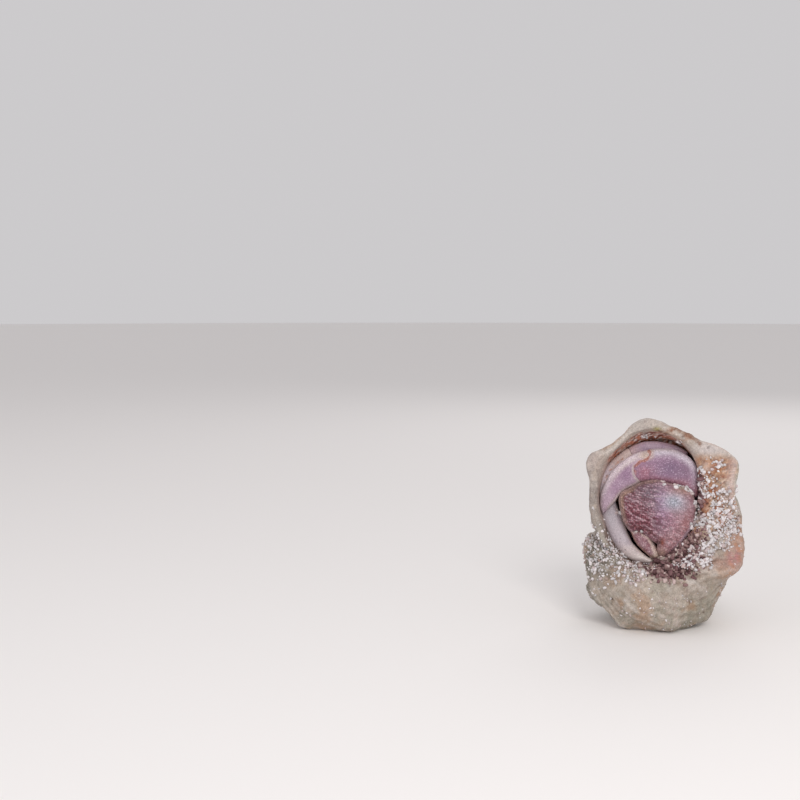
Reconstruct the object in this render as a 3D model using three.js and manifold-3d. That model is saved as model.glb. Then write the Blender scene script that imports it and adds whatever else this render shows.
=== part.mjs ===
// A large land hermit crab withdrawn into a worn, knobbly sea-snail shell.
// Millimetres. +X is to the right seen from the front, +Y goes back, +Z is up, and the floor is z = 0.
import * as THREE from "three";
import { mergeVertices } from "three/addons/utils/BufferGeometryUtils.js";
import Module from "manifold-3d";

const wasm = await Module();
wasm.setup();

// ---- Driving dimensions --------------------------------------------------------------------------

const MOUTH_CENTRE = new THREE.Vector3(-3.4, -8.15, 33.7); // middle of the shell's mouth
const MOUTH_LEAN = 8; // degrees that the plane of the mouth leans back

// The shell is one outline, the lip, turned and shrunk about a slanting axis that ends in the apex.
const GROWTH = 3.0; // times larger with each turn
const AXIS_HEADING = 214; // degrees in the plane of the mouth, from +X towards the lip's top
const AXIS_DIP = 30; // degrees that the axis dips behind the plane of the mouth
const AXIS_OFFSET = 14; // from the middle of the mouth to the axis
const APEX_DISTANCE = 33.5; // along the axis, from level with the mouth to the apex
const WHORLS = 2.25; // turns of shell in all
const CAVITY_TURNS = 1.12; // turns of open tube inside
const CAVITY_JOIN = -0.96; // where the tube passes into the whorl before
const KNOBS_PER_TURN = 9;

// Radii from the middle of the mouth, every 30 degrees, starting at +X and going over the top.
const LIP_RADII = [19.7, 20.2, 20.1, 19.0, 17.8, 16.9, 16.0, 16.6, 17.5, 18.2, 16.0, 17.9];
const THROAT_RADII = [12.9, 14.2, 16.2, 16.8, 15.3, 13.6, 13.3, 13.4, 15.9, 16.8, 14.3, 12.9];
const KEELS = [
  { at: 148, height: 2.9, width: 12 },
  { at: 97, height: 2.9, width: 16 },
  { at: 43, height: 1.0, width: 6 },
  { at: 28, height: 4.2, width: 13 },
  { at: 350, height: 3.0, width: 20 },
];
const KEEL_BETWEEN_KNOBS = 0.3; // share of a keel's height that is left between two knobs

// Swellings and worn hollows: where along the spiral and round it, how high, and how far they spread.
const SWELLINGS = [
  { turn: -1.0, at: 118, height: 11.0, turns: 0.08, width: 25 }, // the shoulder of the whorl before
  { turn: -0.89, at: 156, height: -3.5, turns: 0.05, width: 25 },
  { turn: -0.105, at: 24, height: -3.4, turns: 0.03, width: 16 },
  { turn: -0.165, at: 26, height: 2.2, turns: 0.03, width: 18 },
  { turn: -0.29, at: 32, height: 5.4, turns: 0.05, width: 24 },
];
const LIP_EDGE = 0.9; // flat rim of the lip
const CALLUS = { from: -65, to: 40, blend: 12, flare: 2.6 }; // broad solid part at the right of the mouth
const THROAT_DEPTH = 4.8; // from the lip's plane to where the mouth has narrowed to the throat
const VESTIBULE_DEPTH = 8.6; // straight part of the tube behind the lip, which holds the folded limbs
const VESTIBULE_RADIUS = 16.3;

const WALL = 0.8; // thinnest wall beside the vestibule
const WALL_THICKENING = 10; // millimetres per turn, from half that wall at the lip
const MOUTH_TURNS = [-0.15, 0.1]; // stretch of the spiral that the vestibule lies in
const CAVITY_OVERLAP = 0.03; // turns that the two stretches of the tube share
const FLOOR_CUT = { side: 200, depth: 50 }; // block that levels the base

const SHELL_POINTS = 24; // round the lip
const CAVITY_POINTS = 16; // round the inside
const CAVITY_STEPS = 16;
const LAST_WHORL_STEPS = 36; // per turn
const EARLY_WHORL_STEPS = 16;
const PIECE_TURNS = 0.4; // longest stretch of whorl that is one lofted piece
const ROUNDING = 1e-6; // of a turn, left over when stretches are added up

const DOME_RINGS = [0.4, 0.72, 0.92]; // shares of a dome's outline where it has a ring of points
const FULLNESS = 2.4; // power of the superellipse that a dome's section follows
const BLADE_SECTION = 10; // points round a limb's section
const BLADE_END = 0.55; // share of a limb's thickness at a blunt end
const BLOCK_SQUARENESS = 0.7; // power that squares off a bent block
const AXIS_SIDE = 304; // degrees from the tube's middle to the side of the shell's axis

// ---- Materials -----------------------------------------------------------------------------------

const paint = (color, roughness) => new THREE.MeshStandardMaterial({ color, roughness, metalness: 0 });
const SHELL = paint("#bda892", 0.8);
const CLAW = paint("#7d5568", 0.5);
const LEG = paint("#9a6f93", 0.45);
const PALE_LEG = paint("#b3a3ad", 0.5);
const BODY = paint("#a98f86", 0.5);
const SKIN = paint("#b98c76", 0.6);
const EYE = paint("#16110f", 0.15);

// ---- Small helpers -------------------------------------------------------------------------------

const rad = THREE.MathUtils.degToRad;
const lean = new THREE.Matrix4()
  .makeRotationX(-rad(MOUTH_LEAN))
  .premultiply(new THREE.Matrix4().makeTranslation(MOUTH_CENTRE));

// A point given across (u), up (v) and into (w) the mouth, from its middle.
const mouthPoint = (u, v, w) => new THREE.Vector3(u, w, v).applyMatrix4(lean);

// A smooth closed curve through values spaced evenly round a circle.
function roundTable(values) {
  return (degrees) => {
    const count = values.length;
    const place = (THREE.MathUtils.euclideanModulo(degrees, 360) / 360) * count;
    const i = Math.floor(place);
    const x = place - i;
    const [a, b, c, d] = [-1, 0, 1, 2].map((k) => values[(i + k + count) % count]);
    return b + 0.5 * x * (c - a + x * (2 * a - 5 * b + 4 * c - d + x * (3 * (b - c) + d - a)));
  };
}

// Angle between two directions in degrees, from -180 to 180.
const turnBetween = (a, b) => THREE.MathUtils.euclideanModulo(a - b + 180, 360) - 180;

// The closed surface over rings of points, with a fan at each end.
function loft(rings, firstCentre, lastCentre) {
  const count = rings[0].length;
  const points = [...rings.flat(), firstCentre, lastCentre];
  const faces = [];
  for (let r = 0; r + 1 < rings.length; r++) {
    for (let i = 0; i < count; i++) {
      const a = r * count + i;
      const b = r * count + ((i + 1) % count);
      faces.push(a, b, b + count, a, b + count, a + count);
    }
  }
  const last = (rings.length - 1) * count;
  for (let i = 0; i < count; i++) {
    const next = (i + 1) % count;
    faces.push(points.length - 2, next, i);
    faces.push(points.length - 1, last + i, last + next);
  }
  const geometry = new THREE.BufferGeometry().setFromPoints(points);
  geometry.setIndex(faces);
  return facingOut(geometry);
}

// Turns the faces round where they face inwards.
function facingOut(geometry) {
  const position = geometry.attributes.position;
  const index = geometry.index.array;
  const [a, b, c] = [new THREE.Vector3(), new THREE.Vector3(), new THREE.Vector3()];
  let volume = 0;
  for (let i = 0; i < index.length; i += 3) {
    a.fromBufferAttribute(position, index[i]);
    b.fromBufferAttribute(position, index[i + 1]);
    c.fromBufferAttribute(position, index[i + 2]);
    volume += a.dot(b.cross(c));
  }
  if (volume < 0) {
    for (let i = 0; i < index.length; i += 3) [index[i], index[i + 1]] = [index[i + 1], index[i]];
  }
  return geometry;
}

function toSolid(geometry) {
  const bare = geometry.clone();
  bare.deleteAttribute("normal");
  bare.deleteAttribute("uv");
  const merged = mergeVertices(bare, 1e-4);
  return new wasm.Manifold(
    new wasm.Mesh({
      numProp: 3,
      vertProperties: merged.attributes.position.array,
      triVerts: new Uint32Array(merged.index.array),
    }),
  );
}

// A solid's surface as a geometry, without the flat slivers that a cut can leave beside the real body.
function toGeometry(solid) {
  const mesh = solid.getMesh();
  const body = Array.from({ length: mesh.numVert }, (_, i) => i);
  const find = (i) => {
    while (body[i] !== i) i = body[i] = body[body[i]];
    return i;
  };
  const { triVerts } = mesh;
  for (let i = 0; i < triVerts.length; i += 3) {
    body[find(triVerts[i + 1])] = find(triVerts[i]);
    body[find(triVerts[i + 2])] = find(triVerts[i]);
  }
  const faces = new Map();
  for (let i = 0; i < triVerts.length; i += 3) {
    const key = find(triVerts[i]);
    if (!faces.has(key)) faces.set(key, []);
    faces.get(key).push(...triVerts.slice(i, i + 3));
  }
  const largest = [...faces.values()].reduce((a, b) => (b.length > a.length ? b : a));
  const geometry = new THREE.BufferGeometry();
  geometry.setAttribute("position", new THREE.BufferAttribute(mesh.vertProperties, mesh.numProp));
  geometry.setIndex(largest);
  geometry.computeVertexNormals();
  return geometry;
}

// ---- The spiral that the shell and the hidden body follow -----------------------------------------

const axis = new THREE.Vector3(
  Math.cos(rad(AXIS_HEADING)) * Math.cos(rad(AXIS_DIP)),
  Math.sin(rad(AXIS_DIP)),
  Math.sin(rad(AXIS_HEADING)) * Math.cos(rad(AXIS_DIP)),
);
const offAxis = new THREE.Vector3(Math.sin(rad(AXIS_HEADING)), 0, -Math.cos(rad(AXIS_HEADING)));
const apex = axis.clone().multiplyScalar(APEX_DISTANCE).addScaledVector(offAxis, -AXIS_OFFSET);

// The point that lies `radius` from the tube's middle in direction `angle`, `turn` turns from the lip.
// Radii are those at the lip, so the tube's own are smaller the further in it goes (turn < 0).
function spiralPoint(turn, radius, angle) {
  return new THREE.Vector3(radius * Math.cos(rad(angle)), 0, radius * Math.sin(rad(angle)))
    .sub(apex)
    .applyAxisAngle(axis, -2 * Math.PI * turn)
    .multiplyScalar(GROWTH ** turn)
    .add(apex)
    .applyMatrix4(lean);
}

// A solid along the spiral, whose outline is radiusAt(angle, turn).
function spiralSolid(fromTurn, toTurn, steps, points, radiusAt) {
  const rings = [];
  for (let s = 0; s <= steps; s++) {
    const turn = fromTurn + ((toTurn - fromTurn) * s) / steps;
    const ring = [];
    for (let i = 0; i < points; i++) {
      const angle = (360 * i) / points;
      ring.push(spiralPoint(turn, radiusAt(angle, turn), angle));
    }
    rings.push(ring);
  }
  return loft(rings, spiralPoint(fromTurn, 0, 0), spiralPoint(toTurn, 0, 0));
}

// ---- The shell -----------------------------------------------------------------------------------

const lipBase = roundTable(LIP_RADII);
const throat = roundTable(THROAT_RADII);

// The outline of the outside: keels rise from it and swell into knobs, and the swellings are added.
function outside(angle, turn) {
  const swell = 0.5 + 0.5 * Math.cos(2 * Math.PI * KNOBS_PER_TURN * turn);
  const rise = KEEL_BETWEEN_KNOBS + (1 - KEEL_BETWEEN_KNOBS) * swell;
  let radius = lipBase(angle);
  for (const keel of KEELS) {
    const away = turnBetween(angle, keel.at) / keel.width;
    radius += rise * keel.height * Math.exp(-away * away);
  }
  for (const swelling of SWELLINGS) {
    const along = (turn - swelling.turn) / swelling.turns;
    const round = turnBetween(angle, swelling.at) / swelling.width;
    radius += swelling.height * Math.exp(-along * along - round * round);
  }
  return radius;
}

// A stretch of whorls in pieces shorter than half a turn, so that no piece meets itself at the axis.
function whorls(fromTurn, toTurn, stepsPerTurn, points, radiusAt) {
  const pieces = [];
  for (let start = toTurn; start - fromTurn > ROUNDING; start -= PIECE_TURNS) {
    const end = Math.max(fromTurn, start - PIECE_TURNS);
    const steps = Math.max(1, Math.round((start - end) * stepsPerTurn));
    pieces.push(toSolid(spiralSolid(end, start, steps, points, radiusAt)));
  }
  return pieces.reduce((whole, piece) => whole.add(piece));
}

// A solid between outlines at given depths behind the plane of the mouth.
function straightSolid(layers) {
  const rings = layers.map(({ depth, radiusAt }) => {
    const ring = [];
    for (let i = 0; i < SHELL_POINTS; i++) {
      const angle = (360 * i) / SHELL_POINTS;
      const radius = radiusAt(angle);
      ring.push(mouthPoint(radius * Math.cos(rad(angle)), radius * Math.sin(rad(angle)), depth));
    }
    return ring;
  });
  return toSolid(loft(rings, mouthPoint(0, 0, layers[0].depth), mouthPoint(0, 0, layers.at(-1).depth)));
}

// The edge of the funnel in the plane of the lip: near the outside, or near the throat on the callus.
function bevel(angle) {
  const full = outside(angle, 0) - LIP_EDGE;
  const past = (degrees) => THREE.MathUtils.smoothstep(degrees, -CALLUS.blend, CALLUS.blend);
  const intoCallus = Math.min(past(turnBetween(angle, CALLUS.from)), past(turnBetween(CALLUS.to, angle)));
  return THREE.MathUtils.lerp(full, throat(angle) + CALLUS.flare, intoCallus);
}

// The whorls joined, less the tube and the mouth's funnel, and cut off level at the floor.
function shellSolid() {
  const cavity = (fromTurn, toTurn) => whorls(fromTurn, toTurn, CAVITY_STEPS, CAVITY_POINTS, throat);
  const wallInside = (angle, turn) =>
    lipBase(angle) - Math.min(WALL, WALL / 2 - turn * WALL_THICKENING);
  const withinWall = whorls(...MOUTH_TURNS, LAST_WHORL_STEPS, SHELL_POINTS, wallInside);
  const funnel = straightSolid([
    { depth: -1, radiusAt: bevel },
    { depth: 0, radiusAt: bevel },
    { depth: THROAT_DEPTH, radiusAt: throat },
    { depth: VESTIBULE_DEPTH, radiusAt: (angle) => Math.min(VESTIBULE_RADIUS, throat(angle)) },
  ]);
  const floor = new THREE.BoxGeometry(FLOOR_CUT.side, FLOOR_CUT.side, FLOOR_CUT.depth);
  floor.translate(0, 0, -FLOOR_CUT.depth / 2);
  return whorls(-1, 0, LAST_WHORL_STEPS, SHELL_POINTS, outside)
    .subtract(cavity(CAVITY_JOIN, 0))
    .add(whorls(-WHORLS, -1, EARLY_WHORL_STEPS, SHELL_POINTS, outside))
    .subtract(cavity(-CAVITY_TURNS, CAVITY_JOIN + CAVITY_OVERLAP))
    .subtract(funnel.intersect(withinWall))
    .subtract(toSolid(mergeVertices(floor)));
}

const shell = shellSolid();

// ---- Shapes of the crab's parts --------------------------------------------------------------------

// Height of a dome's surface at a share of the way from its middle to its edge.
const dome = (share) => (1 - share ** FULLNESS) ** (1 / FULLNESS);

// A smooth curve through points given across and up the mouth.
const curveThrough = (points, closed) =>
  new THREE.CatmullRomCurve3(points.map(([u, v]) => new THREE.Vector3(u, v, 0)), closed, "centripetal");

// A plate lying across the mouth: its outline in the plane of the mouth, domed in front and behind.
// `rim` is how deep the outline lies, and `front` and `back` are the heights of the two domes.
function plate({ outline, middle, rim, front, back, points }) {
  const edge = curveThrough(outline, true).getSpacedPoints(points).slice(0, points);
  const ring = (share, height) =>
    edge.map(({ x, y }) =>
      mouthPoint(middle[0] + (x - middle[0]) * share, middle[1] + (y - middle[1]) * share, rim + height),
    );
  return loft(
    [
      ...DOME_RINGS.map((share) => ring(share, -front * dome(share))),
      ring(1, 0),
      ...DOME_RINGS.map((share) => ring(share, back * dome(share))).reverse(),
    ],
    mouthPoint(...middle, rim - front),
    mouthPoint(...middle, rim + back),
  );
}

// A length of limb lying across the mouth, between an outer and an inner edge that run the same way.
// It is blunt at its start, and at its end too unless `pointed`.
function blade({ outer, inner, rim, front, back, steps, pointed = false }) {
  const edges = [curveThrough(outer, false), curveThrough(inner, false)];
  const rings = [];
  const lastRing = pointed ? steps - 1 : steps;
  for (let s = 0; s <= lastRing; s++) {
    const share = s / steps;
    const [a, b] = edges.map((edge) => edge.getPointAt(share));
    const fromEnd = pointed ? share : Math.abs(2 * share - 1);
    const thick = THREE.MathUtils.lerp(BLADE_END, 1, dome(fromEnd));
    const ring = [];
    for (let i = 0; i < BLADE_SECTION; i++) {
      const round = (2 * Math.PI * i) / BLADE_SECTION;
      const { x, y } = a.clone().lerp(b, 0.5 + 0.5 * Math.cos(round));
      const height = Math.sin(round) * thick;
      ring.push(mouthPoint(x, y, rim + height * (height > 0 ? back : front)));
    }
    rings.push(ring);
  }
  const endPoint = (share) => {
    const { x, y } = edges[0].getPointAt(share).lerp(edges[1].getPointAt(share), 0.5);
    return mouthPoint(x, y, rim);
  };
  return loft(rings, endPoint(0), endPoint(1));
}

// A rounded block bent to the tube. It fills a range of turns, from deep to near the lip, a range of
// angles and a range of shares of the radius. `taper` is the size of its end near the lip.
function bentBlock({ turns, angles, shares, taper = 1, across = 8, along = 6 }) {
  const within = ([low, high], x) => THREE.MathUtils.lerp(low, high, (1 + x) / 2);
  const square = (x) => Math.sign(x) * Math.abs(x) ** BLOCK_SQUARENESS;
  const at = (x, y, z) => {
    const angle = within(angles, y);
    return spiralPoint(within(turns, z), within(shares, x) * throat(angle), angle);
  };
  const rings = [];
  for (let s = 1; s < along; s++) {
    const latitude = Math.PI * (s / along - 0.5);
    const z = square(Math.sin(latitude));
    const size = square(Math.cos(latitude)) * THREE.MathUtils.lerp(1, taper, (z + 1) / 2);
    const ring = [];
    for (let i = 0; i < across; i++) {
      const round = (2 * Math.PI * i) / across;
      ring.push(at(size * square(Math.cos(round)), size * square(Math.sin(round)), z));
    }
    rings.push(ring);
  }
  return loft(rings, at(0, 0, -1), at(0, 0, 1));
}

// A length of the body in the middle of the tube. `share` is how much of the radius it takes at its
// thickest, `ends` are its sizes at the back and the front beside that, and `belly` flattens the side
// that faces the shell's axis.
function trunk({ turns, share, ends, belly = 1, steps = 6, points = 10 }) {
  const [back, front] = turns;
  const radiusAt = (angle, turn) => {
    const x = (turn - back) / (front - back);
    const size = THREE.MathUtils.lerp(...ends, x) + 4 * (1 - Math.max(...ends)) * x * (1 - x);
    const flat = Math.abs(turnBetween(angle, AXIS_SIDE)) < 90 ? belly : 1;
    return throat(angle) * share * Math.min(1, size) * flat;
  };
  return spiralSolid(back, front, steps, points, radiusAt);
}

// An egg-shaped part, with its middle and its three radii given across, up and into the mouth.
function egg([u, v, w], [acrossRadius, upRadius, intoRadius]) {
  const geometry = new THREE.SphereGeometry(1, 12, 8);
  geometry.scale(acrossRadius, intoRadius, upRadius);
  geometry.translate(u, w, v);
  return geometry.applyMatrix4(lean);
}

// ---- The exported model --------------------------------------------------------------------------

const group = new THREE.Group();

function addPart(name, geometry, material) {
  const mesh = new THREE.Mesh(geometry, material);
  mesh.name = name;
  group.add(mesh);
}

addPart("shell", toGeometry(shell), SHELL);

// The swollen left claw closes the mouth. Its hand is domed, and its two fingers point down.
addPart(
  "left_claw_palm",
  plate({
    outline: [
      [-7.8, 0.6], [-5.9, 2.4], [-2.2, 4.7], [1.8, 5.1], [5.8, 4.1], [9.6, 2.8], [11.2, 0.4], [11.5, -3.3],
      [10.5, -7.0], [8.5, -10.2], [5.7, -13.1], [4.0, -14.1], [2.6, -13.5], [2.0, -11.9], [1.3, -10.2],
      [-0.4, -8.7], [-2.6, -7.7], [-4.7, -8.1], [-6.6, -6.2], [-7.7, -2.8],
    ],
    middle: [2.6, -2.8],
    rim: 4.2,
    front: 5.2,
    back: 3.4,
    points: 28,
  }),
  CLAW,
);
addPart(
  "left_claw_finger",
  blade({
    outer: [[-4.6, -9.0], [-3.7, -10.8], [-2.4, -12.5], [-0.7, -14.0], [1.4, -14.9]],
    inner: [[-2.2, -8.6], [-0.4, -9.6], [0.6, -11.1], [1.2, -12.8], [1.4, -14.9]],
    rim: 4.0,
    front: 2.4,
    back: 2.0,
    steps: 7,
    pointed: true,
  }),
  CLAW,
);
// The two left walking legs arch over the claw, the second in front of the first.
addPart(
  "left_leg3_propodus",
  blade({
    outer: [[-0.6, 12.8], [1.9, 13.4], [4.7, 13.4], [7.1, 12.7], [9.3, 11.2], [11.1, 8.9], [12.1, 6.0]],
    inner: [[-3.4, 5.4], [-0.6, 5.6], [1.9, 5.6], [4.4, 5.1], [6.5, 4.5], [8.8, 3.8], [11.3, 2.6]],
    rim: 4.6,
    front: 1.8,
    back: 0.9,
    steps: 10,
  }),
  LEG,
);
addPart(
  "left_leg3_dactyl",
  blade({
    outer: [[-1.2, 12.9], [-3.1, 12.4], [-5.5, 11.2], [-7.8, 9.5], [-10.0, 7.1], [-11.4, 4.8], [-12.4, 2.0],
      [-12.6, -0.8], [-12.0, -3.3]],
    inner: [[-4.0, 5.7], [-4.6, 4.6], [-5.8, 3.7], [-7.2, 2.8], [-8.1, 1.7], [-8.9, 0.4], [-9.8, -1.1],
      [-10.9, -2.4], [-12.0, -3.3]],
    rim: 4.6,
    front: 1.6,
    back: 0.9,
    steps: 12,
    pointed: true,
  }),
  LEG,
);
addPart(
  "left_leg2_propodus",
  blade({
    outer: [[-5.8, 12.5], [-4.1, 13.9], [-1.8, 14.9], [0.7, 15.1], [3.1, 14.9], [5.9, 14.0], [8.3, 12.7],
      [10.5, 10.6]],
    inner: [[-5.3, 9.4], [-3.4, 10.4], [-1.4, 11.0], [0.6, 11.2], [2.7, 11.0], [5.0, 10.2], [7.2, 9.0],
      [9.0, 7.6]],
    rim: 6.6,
    front: 0.8,
    back: 0.5,
    steps: 9,
  }),
  LEG,
);
addPart(
  "left_leg2_dactyl",
  blade({
    outer: [[-6.3, 12.0], [-8.1, 10.7], [-9.8, 9.0], [-11.2, 7.0], [-11.9, 4.5], [-12.2, 1.9], [-12.2, -0.8],
      [-11.8, -3.6], [-11.1, -6.4], [-10.1, -9.1], [-8.5, -11.3], [-6.4, -13.1], [-4.2, -14.4], [-1.8, -15.3],
      [0.8, -15.7]],
    inner: [[-5.8, 9.0], [-7.0, 7.8], [-8.2, 6.2], [-8.8, 4.4], [-9.2, 2.4], [-9.3, 0.4], [-9.1, -1.8],
      [-8.5, -3.9], [-7.6, -5.9], [-6.6, -7.8], [-5.6, -9.7], [-4.5, -11.5], [-3.0, -13.1], [-1.2, -14.6],
      [0.8, -15.7]],
    rim: 6.6,
    front: 0.8,
    back: 0.5,
    steps: 18,
    pointed: true,
  }),
  PALE_LEG,
);

// Behind the plates the left claw's wrist and arm fold into the middle of the tube.
addPart("left_claw_wrist", egg([5.1, 0.4, 12.9], [3.5, 3.6, 3.2]), CLAW);
addPart("left_claw_arm", egg([0.2, -4.4, 12.8], [2.7, 2.9, 3.2]), CLAW);

// Round them the legs lie along the wall in lanes, each a range of angles.
const LANE_WIDTH = 26;
const LANE_SHARES = [0.67, 0.9];

function laneBlock(name, centre, turns, material, taper = 0.85) {
  const angles = [centre - LANE_WIDTH / 2, centre + LANE_WIDTH / 2];
  addPart(name, bentBlock({ turns, angles, shares: LANE_SHARES, taper }), material);
}

laneBlock("left_leg3_carpus", 12, [-0.2, -0.135], LEG);
laneBlock("left_leg3_merus", 12, [-0.32, -0.206], LEG);
laneBlock("left_leg2_carpus", 43, [-0.17, -0.1], LEG);
laneBlock("left_leg2_merus", 43, [-0.31, -0.176], LEG);
laneBlock("right_leg3_merus", 74, [-0.3, -0.176], PALE_LEG);
laneBlock("right_leg3_carpus", 74, [-0.17, -0.084], PALE_LEG);
laneBlock("right_leg3_propodus", 105, [-0.18, -0.08], PALE_LEG);
laneBlock("right_leg3_dactyl", 105, [-0.29, -0.186], PALE_LEG, 1);
laneBlock("right_leg2_merus", 136, [-0.3, -0.176], PALE_LEG);
laneBlock("right_leg2_carpus", 136, [-0.17, -0.084], PALE_LEG);
laneBlock("right_leg2_propodus", 167, [-0.19, -0.09], PALE_LEG);
laneBlock("right_leg2_dactyl", 167, [-0.29, -0.196], PALE_LEG, 1);
laneBlock("right_claw_arm", 198, [-0.3, -0.22], CLAW);
laneBlock("right_claw_wrist", 198, [-0.214, -0.11], CLAW);
laneBlock("right_claw_palm", 228, [-0.22, -0.14], CLAW);
laneBlock("right_claw_finger", 228, [-0.29, -0.226], CLAW, 1);

// Eyes on stalks, feelers and mouthparts sit in front of the shield, behind the wrist and arm.
addPart("mouthparts", bentBlock({ turns: [-0.272, -0.24], angles: [250, 290], shares: [0.1, 0.5] }), BODY);
for (const [side, angle] of [["left", 70], ["right", 190]]) {
  const around = (width) => [angle - width / 2, angle + width / 2];
  addPart(
    `${side}_eyestalk`,
    bentBlock({ turns: [-0.272, -0.238], angles: around(26), shares: [0.2, 0.34], across: 6, along: 4 }),
    BODY,
  );
  addPart(
    `${side}_eye`,
    bentBlock({ turns: [-0.234, -0.214], angles: around(30), shares: [0.19, 0.35], across: 6, along: 4 }),
    EYE,
  );
}
for (const [side, angle] of [["left", 340], ["right", 352]]) {
  const around = (width) => [angle - width / 2, angle + width / 2];
  addPart(
    `${side}_antenna`,
    bentBlock({ turns: [-0.3, -0.19], angles: around(6), shares: [0.68, 0.76], across: 6, along: 6 }),
    SKIN,
  );
  addPart(
    `${side}_antennule`,
    bentBlock({ turns: [-0.3, -0.21], angles: around(6), shares: [0.8, 0.88], across: 6, along: 5 }),
    SKIN,
  );
}

// The carapace, the soft abdomen that winds into the spire, and the tail fan that grips it.
addPart("shield", trunk({ turns: [-0.395, -0.278], share: 0.6, belly: 0.8, ends: [0.8, 0.75] }), BODY);
addPart("rear_carapace", trunk({ turns: [-0.505, -0.411], share: 0.6, ends: [0.75, 0.85] }), SKIN);
addPart("abdomen_front", trunk({ turns: [-0.685, -0.524], share: 0.8, ends: [0.8, 0.75] }), SKIN);
addPart("abdomen_middle", trunk({ turns: [-0.855, -0.708], share: 0.78, ends: [0.8, 0.8] }), SKIN);
addPart("abdomen_rear", trunk({ turns: [-1.015, -0.884], share: 0.7, ends: [0.7, 0.8] }), SKIN);
addPart("tail_fan", trunk({ turns: [-1.1, -1.05], share: 0.6, ends: [0.5, 0.8], steps: 4 }), BODY);
for (const [name, angle] of [["left_leg4", 50], ["left_leg5", 85], ["right_leg5", 140], ["right_leg4", 175]]) {
  const angles = [angle - 12, angle + 12];
  addPart(name, bentBlock({ turns: [-0.5, -0.33], angles, shares: [0.67, 0.88] }), SKIN);
}

export default group;
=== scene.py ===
"""The looks of a large land hermit crab, withdrawn into a worn shell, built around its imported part.

Lengths are in millimetres until a piece is finished, which turns it to Blender's metres. +X is to the
right seen from the front, +Y goes back, +Z is up, and the floor is z = 0. A place in the mouth of the
shell is given across (u), up (v) and into (w) it, from its middle. A colour is written as red, green
and blue from 0 to 255, as a screen shows it.
"""

import itertools
import math

import bmesh
import bpy
import numpy as np
from mathutils import Matrix, Vector
from mathutils.kdtree import KDTree


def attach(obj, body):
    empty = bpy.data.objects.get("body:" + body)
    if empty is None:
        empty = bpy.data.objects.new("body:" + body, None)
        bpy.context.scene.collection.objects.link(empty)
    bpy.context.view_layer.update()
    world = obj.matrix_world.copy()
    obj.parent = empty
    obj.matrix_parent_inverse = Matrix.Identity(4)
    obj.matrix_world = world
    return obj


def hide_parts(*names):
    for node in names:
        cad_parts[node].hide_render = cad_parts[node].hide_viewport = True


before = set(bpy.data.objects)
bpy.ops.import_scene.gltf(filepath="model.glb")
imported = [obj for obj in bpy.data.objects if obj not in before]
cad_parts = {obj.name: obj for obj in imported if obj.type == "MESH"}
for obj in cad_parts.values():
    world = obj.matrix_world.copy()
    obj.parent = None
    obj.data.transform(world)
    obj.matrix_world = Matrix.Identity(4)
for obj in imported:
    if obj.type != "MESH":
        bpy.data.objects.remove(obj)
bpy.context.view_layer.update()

# ---- Sizes ----

MM = 0.001
# The part has the same sizes, but its throat is up to 0.9 mm narrower or wider.
MOUTH_CENTRE = np.array((-3.4, -8.15, 33.7))
MOUTH_LEAN = math.radians(8)
GROWTH = 3.0  # times larger with each turn of the shell
AXIS_HEADING = math.radians(214)
AXIS_DIP = math.radians(30)
AXIS_OFFSET = 14.0
APEX_DISTANCE = 33.5
WHORLS = 2.25
CAVITY_TURNS = 1.12
CAVITY_JOIN = -0.96  # turn at which the hollow of the last whorl meets that of the spire
KNOBS_PER_TURN = 9
LIP_RADII = (19.7, 20.2, 20.1, 19.0, 17.8, 16.9, 16.0, 16.6, 17.5, 18.2, 16.0, 17.9)
THROAT_RADII = (12.2, 13.3, 16.5, 17.3, 15.7, 13.8, 13.3, 13.6, 16.3, 17.3, 13.5, 12.5)
KEELS = ((148, 2.9, 12), (97, 2.9, 16), (43, 1.0, 6), (28, 4.2, 13), (350, 3.0, 20))  # at, height, width
KEEL_BETWEEN_KNOBS = 0.3
# Single swellings: turn, angle, height, and reach in turns and in degrees.
SWELLINGS = (
    (-1.0, 118, 11.0, 0.08, 25),
    (-0.89, 156, -3.5, 0.05, 25),
    (-0.105, 24, -3.4, 0.03, 16),
    (-0.165, 26, 2.2, 0.03, 18),
    (-0.29, 32, 5.4, 0.05, 24),
)
# The callus on the inner lip: from and to an angle, blended in over so many degrees.
CALLUS_FROM = -65
CALLUS_TO = 40
CALLUS_BLEND = 12
CALLUS_FLARE = 2.6
THROAT_DEPTH = 4.8
VESTIBULE_DEPTH = 8.6
VESTIBULE_RADIUS = 16.3
WALL = 0.8
WALL_THICKENING = 10  # more with each turn inwards

# ---- Small helpers ----


def smooth(x, low, high):
    """0 below low, 1 above high, and a smooth rise between."""
    share = np.clip((x - low) / (high - low), 0, 1)
    return share * share * (3 - 2 * share)


def mix(a, b, share):
    return a + (b - a) * share


def from_mouth(u, v, w):
    """World points for places in the mouth."""
    u, v, w = np.broadcast_arrays(u, v, w)
    cos, sin = math.cos(MOUTH_LEAN), math.sin(MOUTH_LEAN)
    return MOUTH_CENTRE + np.stack([u, w * cos + v * sin, v * cos - w * sin], axis=-1)


def to_mouth(points):
    """Places in the mouth, as u, v and w, for world points."""
    cos, sin = math.cos(MOUTH_LEAN), math.sin(MOUTH_LEAN)
    x, y, z = np.moveaxis(points - MOUTH_CENTRE, -1, 0)
    return x, y * sin + z * cos, y * cos - z * sin


INTO_MOUTH = from_mouth(0.0, 0.0, 1.0) - from_mouth(0.0, 0.0, 0.0)

# ---- Repeatable noise ----

NOISE_DIRECTIONS = np.random.default_rng(5).normal(size=(256, 3))
NOISE_DIRECTIONS /= np.linalg.norm(NOISE_DIRECTIONS, axis=1)[:, None]
NOISE_GAIN = 1.7  # brings the noise to about -1 to 1
CORNERS = tuple(itertools.product((0, 1), repeat=3))


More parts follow.
